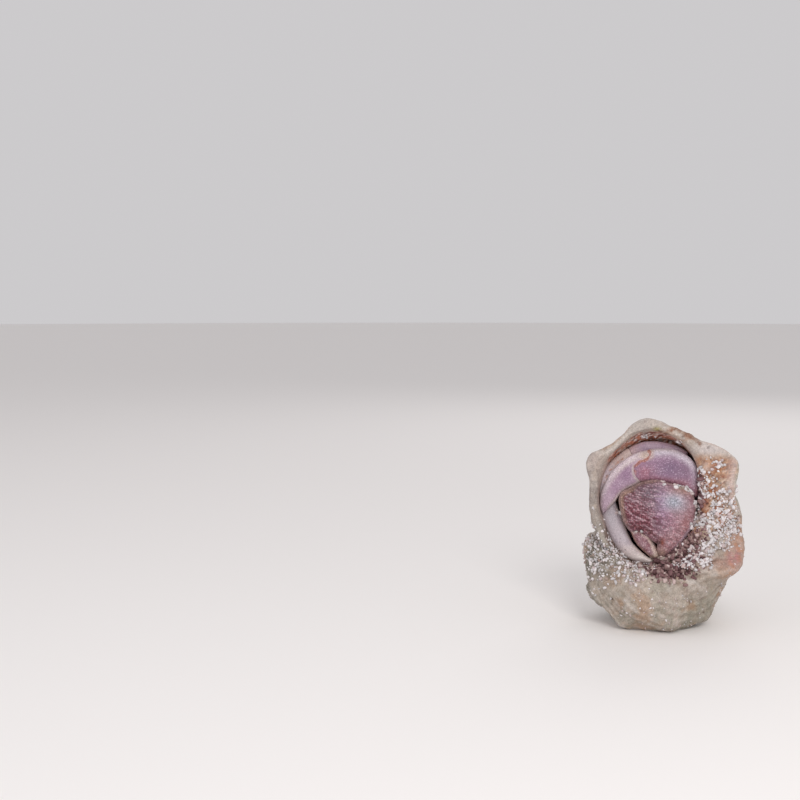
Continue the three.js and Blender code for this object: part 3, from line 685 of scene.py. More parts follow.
def shell_looks():
    """The shell, with the turn and angle of the nearest place on its whorls for each of its points."""
    piece = shell_solid()
    remesh(piece, SHELL_VOXEL)
    relax(piece, 2)
    points = points_of(piece)
    normals = normals_of(piece)
    turn, angle, out = nearest_on_whorls(points)
    u, v, w = to_mouth(points)
    spot = spots(u, v)
    height_up = points[:, 2]
    facing = -normals @ INTO_MOUTH
    round_mouth = np.degrees(np.arctan2(v, u))
    open_air = smooth(out, -1.1, -0.3)  # 1 on the outside of the whorls
    front = (1 - open_air) * smooth(facing, 0.1, 0.5) * smooth(w, 6.5, 4.5)
    near = smooth(w, 7, 4)  # 1 round the mouth
    far = 1 - 0.7 * near

    def along_spiral(per_turn, degrees, seed):
        return noise(np.stack([turn * per_turn, angle / degrees, 0 * turn], axis=1), 1.0, seed)

    # Relief: worn spiral cords, growth lines, swells, and pits bored by sponges.
    wear = smooth(fractal(points, 9, 3, 11), -0.35, 0.5)
    direction = np.radians(angle)
    shape = np.stack([turn * CORD_WANDER, np.cos(direction), np.sin(direction)], axis=1)
    cords = np.cos(direction * CORDS + 0.8 * noise(shape, 1.2, 3))
    lines = along_spiral(GROWTH_LINES, 45, 4)
    coarse_lines = along_spiral(COARSE_LINES, 70, 6)
    cord_height = mix(0.24, 0.06, wear) * mix(0.4, 1, smooth(w, 2, 9))
    relief = open_air * (cord_height * cords + mix(0.1, 0.04, wear) * lines + 0.14 * coarse_lines)
    relief += 0.16 * fractal(points, 3.2, 3, 21) * mix(0.4, 1, open_air)
    distance, chance = cells(points, PITS_APART, 31)
    pit_zone = smooth(fractal(points, 7, 2, 41), 0.05, 0.5)
    lip_pits = near * (spot(5.5, 17.9, 5, 2.0) + spot(17.5, 9.5, 3, 2))
    pitted = np.clip(pit_zone + lip_pits, 0, 1) * (chance < 0.6)
    pits = pitted * smooth(distance, 0.42, 0.12) * np.maximum(open_air, front)
    relief -= PIT_DEPTH * pits

    # The callus at the right of the mouth and the crusted sill under the claw are rough and lumpy.
    callus = front * smooth(u, 9, 12) * smooth(v, 13, 9)
    crust_noise = fractal(points, 2.2, 3, 51)
    crust = 1.6 * spot(4.6, -17.4, 4.8, 2.6) + 1.5 * spot(10.0, -11.6, 3.2, 3.8)
    crust = smooth(crust + 0.5 * crust_noise, 0.35, 0.75) * smooth(facing, 0, 0.4) * smooth(w, 6.5, 4.5)
    lump_distance, lump_chance = cells(points, LUMPS_APART, 57, 0.9)
    lump = np.sqrt(np.clip(1 - (lump_distance / LUMP_RADIUS) ** 2, 0, 1))
    relief += callus * (0.4 * crust_noise + 0.18 * fractal(points, 0.9, 2, 55))
    relief += crust * (0.75 * lump - 0.35) * mix(0.6, 1.1, lump_chance)
    points += normals * relief[:, None]
    points[:, 2] = np.maximum(points[:, 2], 0)
    set_points(piece, points)

    # Colours. First where each stain and each painted shade lies, then the layers.
    hollow = hollowness(piece, HOLLOW_REACH)
    darker_in_hollows, bare = smooth(hollow, 0.03, 0.4), smooth(-hollow, 0.02, 0.3)
    patches = fractal(points, 8, 4, 61)
    fine = fractal(points, 2.0, 3, 71)
    scribble = 1 - 3 * np.abs(fractal(points, 2.4, 2, 73))  # 1 along thin winding lines
    bands = along_spiral(BANDS, 120, 8)
    stain = smooth(patches + 0.35 * fine, 0.15, 0.7)
    grey_green = smooth(fractal(points, 11, 3, 81), 0.0, 0.5)
    low_left = near * spot(-13, -15, 8, 8) * smooth(facing, 0, 0.5)
    inside = (1 - open_air) * smooth(w, 1.0, 4.0)
    lip_stain = smooth(w, 4, 2) * (spot(4.6, 18.0, 3.4, 1.5) + 0.7 * spot(8.8, 16.6, 3.0, 1.4))
    lip_stain = np.clip(lip_stain, 0, 1)
    at_rim = near * smooth(w + 0.8 * fine, 2.8, 0.8)
    rim_streak = at_rim * smooth(from_curve(u, v, LIP_STREAK) + 0.7 * fine, 0.8, 0.2)
    bare_lip = smooth(round_mouth, 20, 34) * smooth(round_mouth, 66, 56)
    crusted = (1 - open_air) * smooth(w + 0.6 * fine - 2 * bare_lip, 1.5, 2.3)
    crusted = crusted * smooth(round_mouth, 148, 130) * smooth(round_mouth, -62, -50)
    # A thin dark band along the lower edge of the second leg is painted shade where the leg meets the
    # shell.
    painted_shade_by_leg = near * smooth(from_curve(u, v, LEG2_OUTER[9:]) + 0.5 * fine, 1.3, 0.4) * smooth(v, -7, -11)
    ragged = front * smooth(np.hypot(u, v) + 0.9 * fine, 15.2, 13.6) * smooth(round_mouth, -12, 0)
    ragged *= smooth(round_mouth, 62, 50)
    shades = painted(
        (180, 167, 156),
        ((154, 138, 127), smooth(bands, 0.0, 0.7) * open_air * 0.7),
        ((136, 118, 104), smooth(-cords, 0.1, 0.8) * open_air * (1 - 0.6 * wear) * far * 0.75),
        ((206, 196, 184), smooth(cords, 0.3, 0.9) * open_air * (1 - 0.5 * wear) * far * 0.6),
        ((128, 106, 90), smooth(lines, 0.15, 0.5) * open_air * far * 0.45),
        ((200, 190, 178), smooth(-lines, 0.2, 0.55) * open_air * far * 0.4),
        ((192, 183, 176), bare * 0.7),
        ((160, 140, 122), smooth(fractal(points, 1.3, 3, 85), 0.1, 0.7) * 0.45),
        ((150, 146, 130), grey_green * open_air * 0.45),
        ((130, 128, 114), open_air * smooth(height_up, 17, 5) * smooth(fine, -0.5, 0.5) * 0.55),
        ((172, 126, 90), stain * open_air * 0.4),
        ((138, 131, 120), low_left * 0.85),
        ((84, 77, 68), low_left * smooth(fine, -0.1, 0.4) * 0.8),
        ((104, 104, 90), near * spot(-16.8, -14.0, 1.8, 7) * 0.75),
        ((172, 162, 156), near * spot(-3.0, 19.5, 5.0, 2.6) * 0.7),
        ((184, 166, 160), near * spot(-15.5, 10.0, 3.0, 3.5) * 0.6),
        ((136, 125, 120), near * spot(-15.2, 3.0, 3.2, 10.0) * smooth(fine, -0.9, 0.5) * 0.9),
        ((196, 186, 184), near * spot(14.5, 13.5, 4.0, 2.0) * 0.8),
        ((172, 140, 116), lip_stain * smooth(fine, -0.3, 0.4) * 0.5),
        ((140, 92, 62), lip_stain * smooth(scribble, 0.5, 0.8) * 0.75),
        ((92, 58, 42), lip_stain * smooth(-fine, 0.35, 0.65) * 0.8),
        ((124, 82, 58), rim_streak * 0.75),
        ((158, 152, 84), at_rim * spot(1.3, 18.4, 1.0, 0.6) * 0.7),
        ((112, 66, 46), at_rim * spot(2.1, 17.9, 0.9, 0.3) * 0.9),
        ((104, 60, 42), at_rim * spot(3.6, 17.2, 0.7, 0.25) * 0.9),
        ((120, 74, 50), at_rim * spot(4.7, 18.2, 0.8, 0.3) * 0.8),
        ((188, 156, 126), callus * 0.85),
        ((208, 190, 178), callus * smooth(fine, 0.1, 0.5) * 0.7),
        ((184, 126, 78), callus * smooth(patches, -0.1, 0.4) * 0.7),
        ((134, 86, 62), callus * smooth(crust_noise, -0.1, 0.35) * 0.8),
        ((104, 62, 46), callus * smooth(-fine, 0.35, 0.6) * 0.7),
        ((172, 112, 66), callus * spot(15.3, 2.4, 2.6, 2.4) * smooth(fine, -0.5, 0.2) * 0.6),
        ((210, 196, 188), callus * smooth(noise(points, 0.9, 93), 0.2, 0.5) * 0.5),
        ((138, 76, 42), callus * smooth(scribble, 0.45, 0.8) * 0.8),
        ((82, 46, 36), callus * smooth(noise(points, 0.8, 94), 0.4, 0.65) * 0.85),
        ((150, 82, 44), near * spot(17.4, 9.6, 3.4, 1.5) * smooth(fine, -0.1, 0.3) * 0.7),
        ((204, 186, 176), callus * spot(19.2, 3.6, 1.8, 3.6) * smooth(fine, 0.4, -0.3) * 0.75),
        ((198, 180, 170), callus * spot(13.6, 9.0, 1.8, 1.5) * 0.55),
        ((206, 190, 187), front * spot(21.5, 6.5, 2.0, 6) * 0.85),
        ((142, 92, 62), callus * spot(13.8, -1.4, 1.3, 1.4) * smooth(fine, -0.3, 0.3) * 0.6),
        ((182, 152, 138), near * smooth(u, 18.5, 21) * smooth(v, -4, -10) * 0.8),
        ((166, 134, 122), near * spot(17.5, -15.4, 6, 1.6) * 0.8),
        ((188, 134, 96), near * smooth(u, 18, 21) * smooth(v, 0, -6) * smooth(fine, 0.15, 0.5) * 0.6),
        ((140, 86, 72), near * spot(22.3, -4.6, 0.9, 4.0) * smooth(fine, -0.4, 0.3) * 0.7),
        ((166, 112, 114), near * spot(21.2, -13.8, 1.8, 2.0) * smooth(fine, -0.6, 0.2) * 0.9),
        (mix(colour(106, 72, 72), colour(170, 142, 138), lump_chance[:, None]), crust * 0.9),
        # painted shade in the gaps between the crust's lumps
        ((66, 36, 34), crust * smooth(lump, 0.5, 0.2) * 0.85),
        ((176, 152, 142), inside * 0.85),
        ((188, 118, 92), crusted * smooth(fine, -0.7, 0.0) * 0.95),
        ((92, 40, 30), crusted * smooth(scribble, 0.2, 0.6) * 0.8),
        ((236, 218, 210), crusted * smooth(noise(points, 0.9, 95), 0.15, 0.4) * 0.9),
        # painted shade along the second leg's edge
        ((96, 70, 60), painted_shade_by_leg * 0.85),
        ((136, 80, 68), ragged * 0.95),
        # darker in the shell's hollows
        ((104, 80, 64), darker_in_hollows * 0.7),
        ((74, 48, 34), pits * 0.9),
    )
    shades *= (1 + 0.16 * noise(points, 0.8, 87) + 0.1 * noise(points, 0.4, 88))[:, None]
    set_shade(piece, shades)
    return piece, turn, angle


# ---- Plates and limbs that show ----

# Outlines in the plane of the mouth, across and up, clockwise or against it.
PALM_OUTLINE = (
    (-8.1, 0.3), (-7.5, 1.6), (-6.0, 2.5), (-3.7, 3.8), (-1.6, 4.7), (1.8, 5.2), (5.8, 4.2),
    (9.7, 2.9), (11.3, 0.5), (11.7, -3.3), (10.8, -7.1), (8.8, -10.3), (6.0, -13.5), (4.1, -14.9),
    (2.7, -14.6), (2.0, -13.3), (2.0, -11.8), (0.7, -10.9), (-1.7, -9.5), (-3.4, -8.5), (-4.9, -8.7),
    (-6.6, -6.3), (-7.8, -2.8),
)
FINGER_OUTLINE = (
    (-4.8, -8.3), (-4.3, -10.0), (-3.2, -11.9), (-1.6, -13.5), (0.1, -14.9), (1.5, -15.4),
    (2.4, -15.0), (2.7, -14.0), (2.0, -12.6), (0.9, -10.8), (0.3, -9.5), (-1.2, -8.4), (-2.9, -7.5),
)
LEG3_SUTURE = (
    (-0.7, 13.1), (-0.5, 11.4), (-1.4, 10.4), (-3.0, 9.7), (-4.1, 8.7), (-4.3, 7.4), (-3.9, 6.0),
    (-2.4, 4.4),
)
LEG3_PROPODUS_OUTER = (
    (-0.7, 13.1), (2.0, 13.5), (4.7, 13.5), (7.4, 12.8), (9.6, 11.6), (11.6, 9.5), (12.5, 6.3),
    (12.5, 2.6), (11.9, 0.9),
)
LEG3_PROPODUS_INNER = ((11.2, 1.0), (8.9, 3.0), (5.8, 4.0), (3.3, 4.5), (0.3, 4.7), (-2.4, 4.4))
LEG3_DACTYL_OUTER = (
    (-0.7, 13.1), (-3.9, 12.1), (-6.6, 10.5), (-9.4, 8.0), (-11.4, 4.9), (-12.8, 1.2), (-13.1, -2.2),
    (-12.3, -4.5),
)
LEG3_DACTYL_INNER = ((-10.6, -2.8), (-9.0, -0.9), (-7.7, 1.1), (-6.1, 2.4), (-4.0, 3.5), (-2.4, 4.4))
LEG2_OUTER = (
    (9.5, 12.6), (7.4, 13.9), (4.3, 15.0), (1.2, 15.4), (-1.9, 15.2), (-4.6, 14.2), (-7.4, 12.4),
    (-10.8, 9.3), (-13.0, 5.6), (-13.6, 1.0), (-13.4, -2.2), (-12.0, -6.6), (-9.6, -11.6),
    (-7.3, -14.2), (-4.5, -16.1), (-1.8, -16.7),
)
CURVE_STEPS = 80
LEG2_STEPS = 160
LEG2_JOINT = 0.3  # share of the outer edge at which its last two lengths meet
LEG2_INNER = (
    (0.5, -16.7), (1.0, -16.0), (-0.4, -15.0), (-2.5, -13.4), (-4.4, -11.5), (-5.8, -8.7),
    (-7.1, -5.4), (-8.3, -2.8), (-9.3, 0.4), (-8.8, 4.4), (-7.0, 7.8), (-4.3, 10.2), (-1.0, 11.4),
    (2.7, 11.4), (6.0, 10.2), (8.6, 8.6),
)
LEG2_CREASE = ((-6.0, 11.5), (-8.6, 9.5), (-10.8, 7.0), (-12.1, 4.0))
PALM_GROOVE = ((-4.4, -7.2), (-2.6, -7.2), (-0.6, -7.9), (1.2, -9.2))
PALM_MIDDLE = np.array((2.6, -2.8))
PALM_RIM, PALM_FRONT, PALM_BACK = 4.2, 5.2, 3.4
FULLNESS = 2.8  # power of the superellipse that the palm's section follows
PLATE_VOXEL = 0.12
PLATE_GRID = 0.2
SEAM_ROUNDING = 0.2
SEAM_RISE = 0.82  # share of its height that a plate keeps at its seam
LEG3_SEAM_GROWTH = np.array((0.13, -0.05))  # each plate reaches this far past the suture, to close it
LEG3_DEPTH = 4.5
LEG2_DEPTH = 6.5
LEG2_SLOPE, LEG2_SLOPE_TOP, LEG2_SLOPE_HEIGHT = 0.27, -4.5, 11
LIMB_GRAINS, LIMB_GRAIN_SHARE = 0.42, 0.8  # grains' distance apart, and how many of them there are
FINGER_DEPTH = 3.8


def dome(share):
    """Height of a dome at a share of the way from its middle to its edge."""
    return np.maximum(0, 1 - share**FULLNESS) ** (1 / FULLNESS)


def swollen(name, outline, middle, rim, front, back, around=240, rings=26):
    """A plate lying across the mouth, swollen in front and behind."""
    edge = catmull_rom(outline, True, around)
    shares = np.sin(np.linspace(0.04, 1, rings) * math.pi / 2)
    heights = [(s, -front * dome(s)) for s in shares] + [(s, back * dome(s)) for s in shares[-2::-1]]
    layers = [(middle + (edge - middle) * share, rim + height) for share, height in heights]
    return stacked(name, layers, (*middle, rim - front), (*middle, rim + back))


def beside(u, v, line):
    """How far places are from a line through points, and the share of its length that they lie at."""
    steps = np.diff(line, axis=0)
    lengths = np.linalg.norm(steps, axis=1)
    gone = np.concatenate([[0], np.cumsum(lengths)])
    nearest = np.full(len(u), np.inf)
    share = np.zeros(len(u))
    for start, step, length, before in zip(line, steps, lengths, gone):
        reach = np.clip(((u - start[0]) * step[0] + (v - start[1]) * step[1]) / length**2, 0, 1)
        gap = np.hypot(u - start[0] - reach * step[0], v - start[1] - reach * step[1])
        share = np.where(gap < nearest, before + reach * length, share)
        nearest = np.minimum(nearest, gap)
    return nearest, share / gone[-1]


def within(u, v, outline):
    """Whether each place lies inside a closed line."""
    odd = np.zeros(len(u), bool)
    for (u1, v1), (u2, v2) in zip(outline[:-1], outline[1:]):
        if v1 != v2:
            odd ^= ((v1 > v) != (v2 > v)) & (u < u1 + (v - v1) * (u2 - u1) / (v2 - v1))
    return odd


def quarter_round(gap, width):
    """Height of a quarter circle that starts at an edge and is level from `width` inwards."""
    return np.sqrt(1 - (1 - np.clip(gap / width, 0, 1)) ** 2)


def cushion(name, free, seam, depth, front, back, rounding):
    """A plate lying across the mouth, inside a free edge, which is closed or which a seam closes.

    The free edge is rounded over a width of `rounding`, and depth(u, v) is how deep the edges lie.
    """
    outline = np.concatenate([free, seam])
    if len(seam):
        outline = np.concatenate([outline, outline[:1]])
    low, high = outline.min(axis=0) - PLATE_GRID, outline.max(axis=0) + PLATE_GRID
    columns = (np.arange(a, b + PLATE_GRID, PLATE_GRID) for a, b in zip(low, high))
    u, v = np.meshgrid(*columns, indexing="ij")
    number = np.arange(u.size).reshape(u.shape)
    u, v = u.ravel(), v.ravel()
    full = within(u, v, outline)
    _, share = beside(u, v, outline)
    length = np.concatenate([[0], np.cumsum(np.linalg.norm(np.diff(outline, axis=0), axis=1))])
    u = np.where(full, u, np.interp(share, length / length[-1], outline[:, 0]))
    v = np.where(full, v, np.interp(share, length / length[-1], outline[:, 1]))
    rise = quarter_round(beside(u, v, free)[0], rounding)
    if len(seam):
        beside_seam = quarter_round(beside(u, v, seam)[0], SEAM_ROUNDING)
        rise = np.minimum(rise, mix(SEAM_RISE, 1, beside_seam))
    level = depth(u, v)
    corners = np.stack([number[:-1, :-1], number[1:, :-1], number[1:, 1:], number[:-1, 1:]], axis=-1)
    quads = corners.reshape(-1, 4)
    quads = quads[full[quads].any(axis=1)]
    behind = np.where(full, number.ravel() + number.size, number.ravel())
    sides = (from_mouth(u, v, level + height * rise) for height in (-front, back))
    points = np.concatenate(list(sides))
    used, renumbered = np.unique(np.concatenate([quads[:, ::-1], behind[quads]]), return_inverse=True)
    piece = make_object(name, points[used], [renumbered.reshape(-1, 4)])
    remesh(piece, PLATE_VOXEL)
    relax(piece, 2)
    return piece


def curve(line, count=CURVE_STEPS):
    """An open smooth curve through points."""
    return catmull_rom(line, False, count)


def from_curve(u, v, line):
    """How far places are from a smooth curve through points."""
    return beside(u, v, curve(line))[0]


def level_at(depth):
    """A depth for `cushion` that is the same everywhere."""
    return lambda u, v: depth + 0 * u


def leg2_depth(u, v):
    """The second leg's tip comes forward from behind the third leg's."""
    return LEG2_DEPTH - LEG2_SLOPE * np.clip(LEG2_SLOPE_TOP - v, 0, LEG2_SLOPE_HEIGHT)


def granules(points, size, share, height, seed):
    """Rounded grains on a surface: how far each point is lifted, and how near it is to a grain's tip."""
    distance, chance = cells(points, size, seed, 0.7)
    radius = size * mix(0.36, 0.52, chance / share)
    tip = np.where(chance < share, np.clip(1 - (distance / radius) ** 2, 0, 1), 0)
    return height * np.sqrt(tip) * mix(0.6, 1, chance / share), tip


def claw_palm():
    """The swollen hand of the left claw, with its fixed finger, grains and teeth."""
    piece = swollen("left_claw_palm_looks", PALM_OUTLINE, PALM_MIDDLE, PALM_RIM, PALM_FRONT, PALM_BACK)
    remesh(piece, PLATE_VOXEL)
    relax(piece, 3)
    points = points_of(piece)
    normals = normals_of(piece)
    u, v, w = to_mouth(points)
    spot = spots(u, v)
    front = smooth(-normals @ INTO_MOUTH, -0.3, 0.2)
    left = smooth(u - 0.35 * v, 6.0, -2.0)
    from_edge, _ = beside(u, v, np.array(PALM_OUTLINE + PALM_OUTLINE[:1]))
    relief = 0.12 * fractal(points, 4.0, 2, 101)
    rough = np.clip(0.2 + left + spot(1, -8.5, 7, 4), 0, 1) * front
    lift, tip = granules(points, 0.55, 0.95, 0.13, 103)
    small, small_tip = granules(points, 0.34, 0.8, 0.05, 107)
    relief += lift * mix(0.25, 1, rough) * front + small * front
    from_groove, _ = beside(u, v, np.array(PALM_GROOVE))
    groove = smooth(from_groove + 0.6 * noise(points, 0.8, 109), 0.5, 0.1) * front
    relief -= 0.12 * groove
    # Where the finger meets the palm there is a dented gap, which is painted dark as painted shade.
    shaded_gap = spot(2.3, -11.2, 0.6, 0.8) * front
    relief -= 0.3 * shaded_gap
    points += normals * relief[:, None]
    set_points(piece, points)

    soft = fractal(points, 3.0, 3, 111)
    along, across = 0.94 * u - 0.34 * v, 0.34 * u + 0.94 * v
    dashes = noise(np.stack([along / 1.5, across / 0.5, w / 1.5], axis=1), 1.0, 113)
    dashes += 0.4 * noise(np.stack([along, across * 2, w], axis=1), 0.6, 114)
    valley = smooth(tip, 0.3, 0.0)
    maroon = np.clip(spot(-2.4, -4.6, 4.4, 3.2) + spot(-4.6, -1.6, 2.4, 3.2) * 0.7, 0, 1)
    # A pale grey patch on the swell of the palm, partly its own colour and partly a painted highlight.
    pale_patch_and_highlight = spot(5.9, -0.3, 2.7, 2.1)
    shades = painted(
        (168, 124, 134),
        ((132, 112, 128), spot(-0.8, 1.8, 4.6, 3.0) * 0.95),
        ((146, 114, 122), spot(-4.2, 0.8, 3.0, 3.0) * 0.7),
        ((174, 138, 176), spot(2.8, -2.2, 2.0, 5.0) * 0.95),
        ((184, 146, 168), spot(4.6, -6.2, 2.8, 3.0) * 0.7),
        ((164, 142, 148), spot(8.4, -2.0, 2.4, 3.2) * 0.75),
        ((148, 78, 92), maroon * 0.75),
        ((180, 124, 122), spot(9.2, -6.2, 1.8, 3.0) * 0.7),
        ((192, 146, 150), spot(6.0, -10.4, 3.6, 3.8) * 0.8),
        ((178, 140, 120), spot(8.4, 2.6, 2.8, 1.3) * 0.7),
        ((116, 84, 100), spot(0.4, -2.0, 2.8, 2.4) * 0.5),
        ((154, 106, 110), spot(10.2, -4.4, 1.6, 3.4) * 0.4),
        ((108, 38, 54), smooth(dashes, -0.05, 0.3) * np.clip(0.2 + 0.8 * maroon + 0.2 * rough, 0, 0.95)),
        ((206, 176, 184), smooth(-dashes, 0.1, 0.45) * mix(0.2, 0.6, rough)),
        ((176, 150, 164), smooth(soft, 0.1, 0.7) * 0.2),
        # the pale patch with its painted highlight
        ((178, 180, 194), pale_patch_and_highlight * 0.95),
        ((184, 146, 116), smooth(from_edge, 1.7, 0.5) * smooth(u, -3.0, -5.5) * smooth(v, -5, -2) * 0.85),
        ((190, 156, 144), smooth(from_edge, 1.3, 0.5) * smooth(u, -3.0, -5.5) * smooth(v, -8, -5) * 0.8),
        ((150, 116, 102), smooth(from_edge, 1.1, 0.2) * smooth(v, 1.5, 3.5) * smooth(u, 4, 0) * 0.8),
        ((196, 166, 160), smooth(from_edge, 0.6, 0.1) * 0.6),
        ((200, 174, 188), smooth(from_edge, 1.3, 0.4) * smooth(v, -4, -7) * smooth(u, 5, 7) * 0.8),
        ((120, 48, 54), groove * 0.7),
        ((146, 62, 38), spot(3.2, -10.8, 0.7, 1.0) * 0.95),
        ((196, 160, 146), spot(3.2, -13.6, 1.2, 1.4) * 0.8),
        # painted shade in the gap by the finger
        ((60, 26, 30), shaded_gap * 0.7),
    )
    return paint(
        piece,
        shades,
        (0.4 * shades, valley * np.maximum(mix(0.3, 0.8, rough), 0.8 * pale_patch_and_highlight) * front),
        (0.5 * shades + colour(120, 100, 104), smooth(tip, 0.5, 0.9) * mix(0.2, 0.6, rough) * front),
        (1.25 * shades, smooth(small_tip, 0.4, 0.9) * 0.4 * front),
    )


def cuticle(piece, seed, grains, soft_size, swells=0.06):
    """Swells and fine grains on a limb.

    Gives its places across and up, how near each is to a grain's tip, and noise for the soft stains.
    """
    points = points_of(piece)
    lift, tip = granules(points, LIMB_GRAINS, LIMB_GRAIN_SHARE, grains, seed)
    relief = swells * fractal(points, 2.6, 2, seed + 3) + lift
    relief += 0.3 * grains * fractal(points, 0.5, 2, seed + 5)
    swell(piece, relief)
    points = points_of(piece)
    u, v, _ = to_mouth(points)
    return u, v, tip, fractal(points, soft_size, 3, seed + 4)


def claw_finger():
    edge = catmull_rom(FINGER_OUTLINE, True, 160)
    edge = np.concatenate([edge, edge[:1]])
    piece = cushion("left_claw_finger_looks", edge, edge[:0], level_at(FINGER_DEPTH), 2.1, 1.7, 1.1)
    u, v, tip, soft = cuticle(piece, 201, 0.08, 1.6)
    spot = spots(u, v)
    right_edge = from_curve(u, v, FINGER_OUTLINE[6:])
    left_edge = from_curve(u, v, FINGER_OUTLINE[:6])
    teeth = spot(-0.3, -9.3, 0.5, 0.35) + spot(1.0, -11.2, 0.35, 0.9)
    return paint(
        piece,
        (164, 128, 136),
        ((130, 70, 82), smooth(soft, -0.3, 0.4) * 0.7),
        ((214, 190, 178), smooth(right_edge + 0.3 * soft, 1.5, 0.9) * 0.95),
        ((190, 146, 128), smooth(left_edge, 0.7, 0.2) * 0.8),
        ((214, 196, 178), spot(1.7, -14.6, 1.0, 0.9) * 0.9),
        ((226, 218, 212), np.clip(teeth, 0, 1) * 0.9),
        ((216, 206, 200), spot(-3.7, -8.6, 0.6, 0.5) * 0.9),
        ((96, 42, 46), spot(-2.9, -8.6, 0.3, 0.5) * 0.8),
        ((206, 180, 180), tip * 0.45),
        ((92, 50, 60), smooth(-tip, -0.25, 0.0) * 0.35),
    )


def leg3_length(name, outer, inner, growth, front):
    """One of the last two lengths of the third left leg, which meet along a winding suture."""
    free = np.concatenate([curve(outer), curve(inner)])
    seam = curve(LEG3_SUTURE[::-1]) + growth
    return cushion(name, free, seam, level_at(LEG3_DEPTH), front, 0.8, 1.7)


def leg3_propodus():
    edges = (LEG3_PROPODUS_OUTER, LEG3_PROPODUS_INNER)
    piece = leg3_length("left_leg3_propodus_looks", *edges, -LEG3_SEAM_GROWTH, 1.8)
    u, v, tip, soft = cuticle(piece, 301, 0.035, 2.2)
    spot = spots(u, v)
    outer, inner = (from_curve(u, v, edge) for edge in edges)
    suture, along_suture = beside(u, v, curve(LEG3_SUTURE))
    rim = smooth(outer + 0.2 * soft, 3.1, 0.9)
    stain_line = suture + 0.5 * noise(points_of(piece), 1.1, 309)
    stained = smooth(stain_line, 0.55, 0.15) * smooth(along_suture, 0.85, 0.65)
    return paint(
        piece,
        (158, 124, 148),
        ((118, 92, 120), spot(5.0, 8.4, 3.4, 2.4) * 0.9),
        ((128, 100, 124), spot(8.6, 7.6, 2.2, 2.4) * 0.7),
        ((160, 98, 112), spot(-1.6, 7.0, 2.4, 1.9) * 0.85),
        ((162, 106, 120), smooth(inner, 2.2, 0.6) * 0.7),
        ((156, 104, 112), spot(8.2, 4.4, 3.2, 1.3) * 0.7),
        ((184, 152, 154), smooth(inner, 0.8, 0.2) * smooth(u, 6, 2) * 0.8),
        # The pale rim along the outer edge: partly the leg's own pale edge, partly a painted highlight,
        # stronger along the top where the light falls.
        ((206, 196, 206), rim * mix(0.45, 0.95, smooth(v, 7, 10))),
        ((212, 200, 200), smooth(outer, 1.3, 0.4) * smooth(u, 9, 4) * 0.6),
        ((192, 168, 154), smooth(suture, 1.8, 0.5) * smooth(v, 9.6, 11.2) * 0.8),
        # The dark red-brown end of the leg: partly its own colour, partly painted shade where it runs in
        # under the shell's edge.
        ((120, 58, 56), spot(11.8, 2.2, 1.2, 2.6) * 0.9),
        ((172, 104, 78), stained * 0.85),
        ((124, 90, 112), smooth(soft, 0.1, 0.7) * 0.35 * (1 - rim)),
        ((206, 190, 204), smooth(tip, 0.4, 0.9) * 0.5),
        ((104, 78, 98), smooth(-tip, -0.25, 0.0) * 0.3),
    )


def leg3_dactyl():
    edges = (LEG3_DACTYL_OUTER, LEG3_DACTYL_INNER)
    piece = leg3_length("left_leg3_dactyl_looks", *edges, LEG3_SEAM_GROWTH, 1.7)
    u, v, tip, soft = cuticle(piece, 401, 0.035, 2.2)
    spot = spots(u, v)
    outer, along = beside(u, v, curve(LEG3_DACTYL_OUTER))
    inner, suture = (from_curve(u, v, edge) for edge in (LEG3_DACTYL_INNER, LEG3_SUTURE))
    stained = smooth(suture + 0.5 * noise(points_of(piece), 1.1, 409), 0.4, 0.1)
    return paint(
        piece,
        (182, 156, 172),
        ((144, 110, 138), spot(-6.4, 6.4, 2.4, 2.6) * 0.95),
        ((154, 120, 146), spot(-9.0, 3.0, 1.8, 2.8) * 0.7),
        ((182, 158, 172), smooth(v, 1.0, -2.0) * 0.6),
        ((212, 198, 192), smooth(outer + 0.2 * soft, 2.6, 0.9) * smooth(along, 0.8, 0.3) * 0.95),
        ((226, 212, 220), smooth(outer, 1.8, 0.4) * smooth(v, -1.0, 2.0) * 0.85),
        ((206, 192, 200), smooth(outer, 1.2, 0.3) * smooth(v, 1.0, -1.0) * 0.7),
        # painted light along the very edge, which evens out the shade of the rounded edge
        ((242, 232, 238), smooth(outer, 0.9, 0.1) * smooth(v, -2.0, 2.0) * 0.8),
        # a pale inner margin, partly its own colour and partly painted light where the palm's rim shades it
        ((224, 210, 208), smooth(inner, 1.0, 0.3) * 0.85),
        ((204, 190, 182), smooth(suture, 0.9, 0.4) * smooth(v, 9.8, 8.2) * 0.8),
        ((192, 168, 146), spot(-1.6, 11.6, 1.5, 1.4) * 0.8),
        ((176, 112, 78), stained * smooth(v, 6.5, 8.5) * 0.8),
        ((150, 120, 142), smooth(soft, 0.1, 0.7) * 0.3),
        ((208, 196, 206), smooth(tip, 0.4, 0.9) * 0.4),
        ((120, 96, 114), smooth(-tip, -0.25, 0.0) * 0.25),
    )


def leg2_length(name, last):
    """One of the last two lengths of the second left leg, which meet along a seam at the top."""
    outer, inner = curve(LEG2_OUTER, LEG2_STEPS), curve(LEG2_INNER, LEG2_STEPS)
    at = round(LEG2_JOINT * LEG2_STEPS)
    if last:
        free, seam = np.concatenate([outer[at:], inner[:-at]]), (inner[-at], outer[at])
    else:
        free, seam = np.concatenate([inner[-at:], outer[: at + 1]]), (outer[at], inner[-at])
    return cushion(name, free, np.linspace(*seam, 20)[1:-1], leg2_depth, 1.1, 0.6, 1.8)


def leg2_propodus():
    piece = leg2_length("left_leg2_propodus_looks", False)
    u, v, tip, soft = cuticle(piece, 501, 0.03, 2.0, 0.04)
    outer, along = beside(u, v, curve(LEG2_OUTER))
    return paint(
        piece,
        (168, 144, 160),
        ((138, 112, 136), smooth(soft, 0.0, 0.6) * 0.5),
        ((188, 166, 176), smooth(outer, 0.9, 0.3) * 0.6),
        ((184, 158, 156), smooth(along, 0.22, 0.3) * 0.7),
        ((196, 180, 190), tip * 0.12),
    )


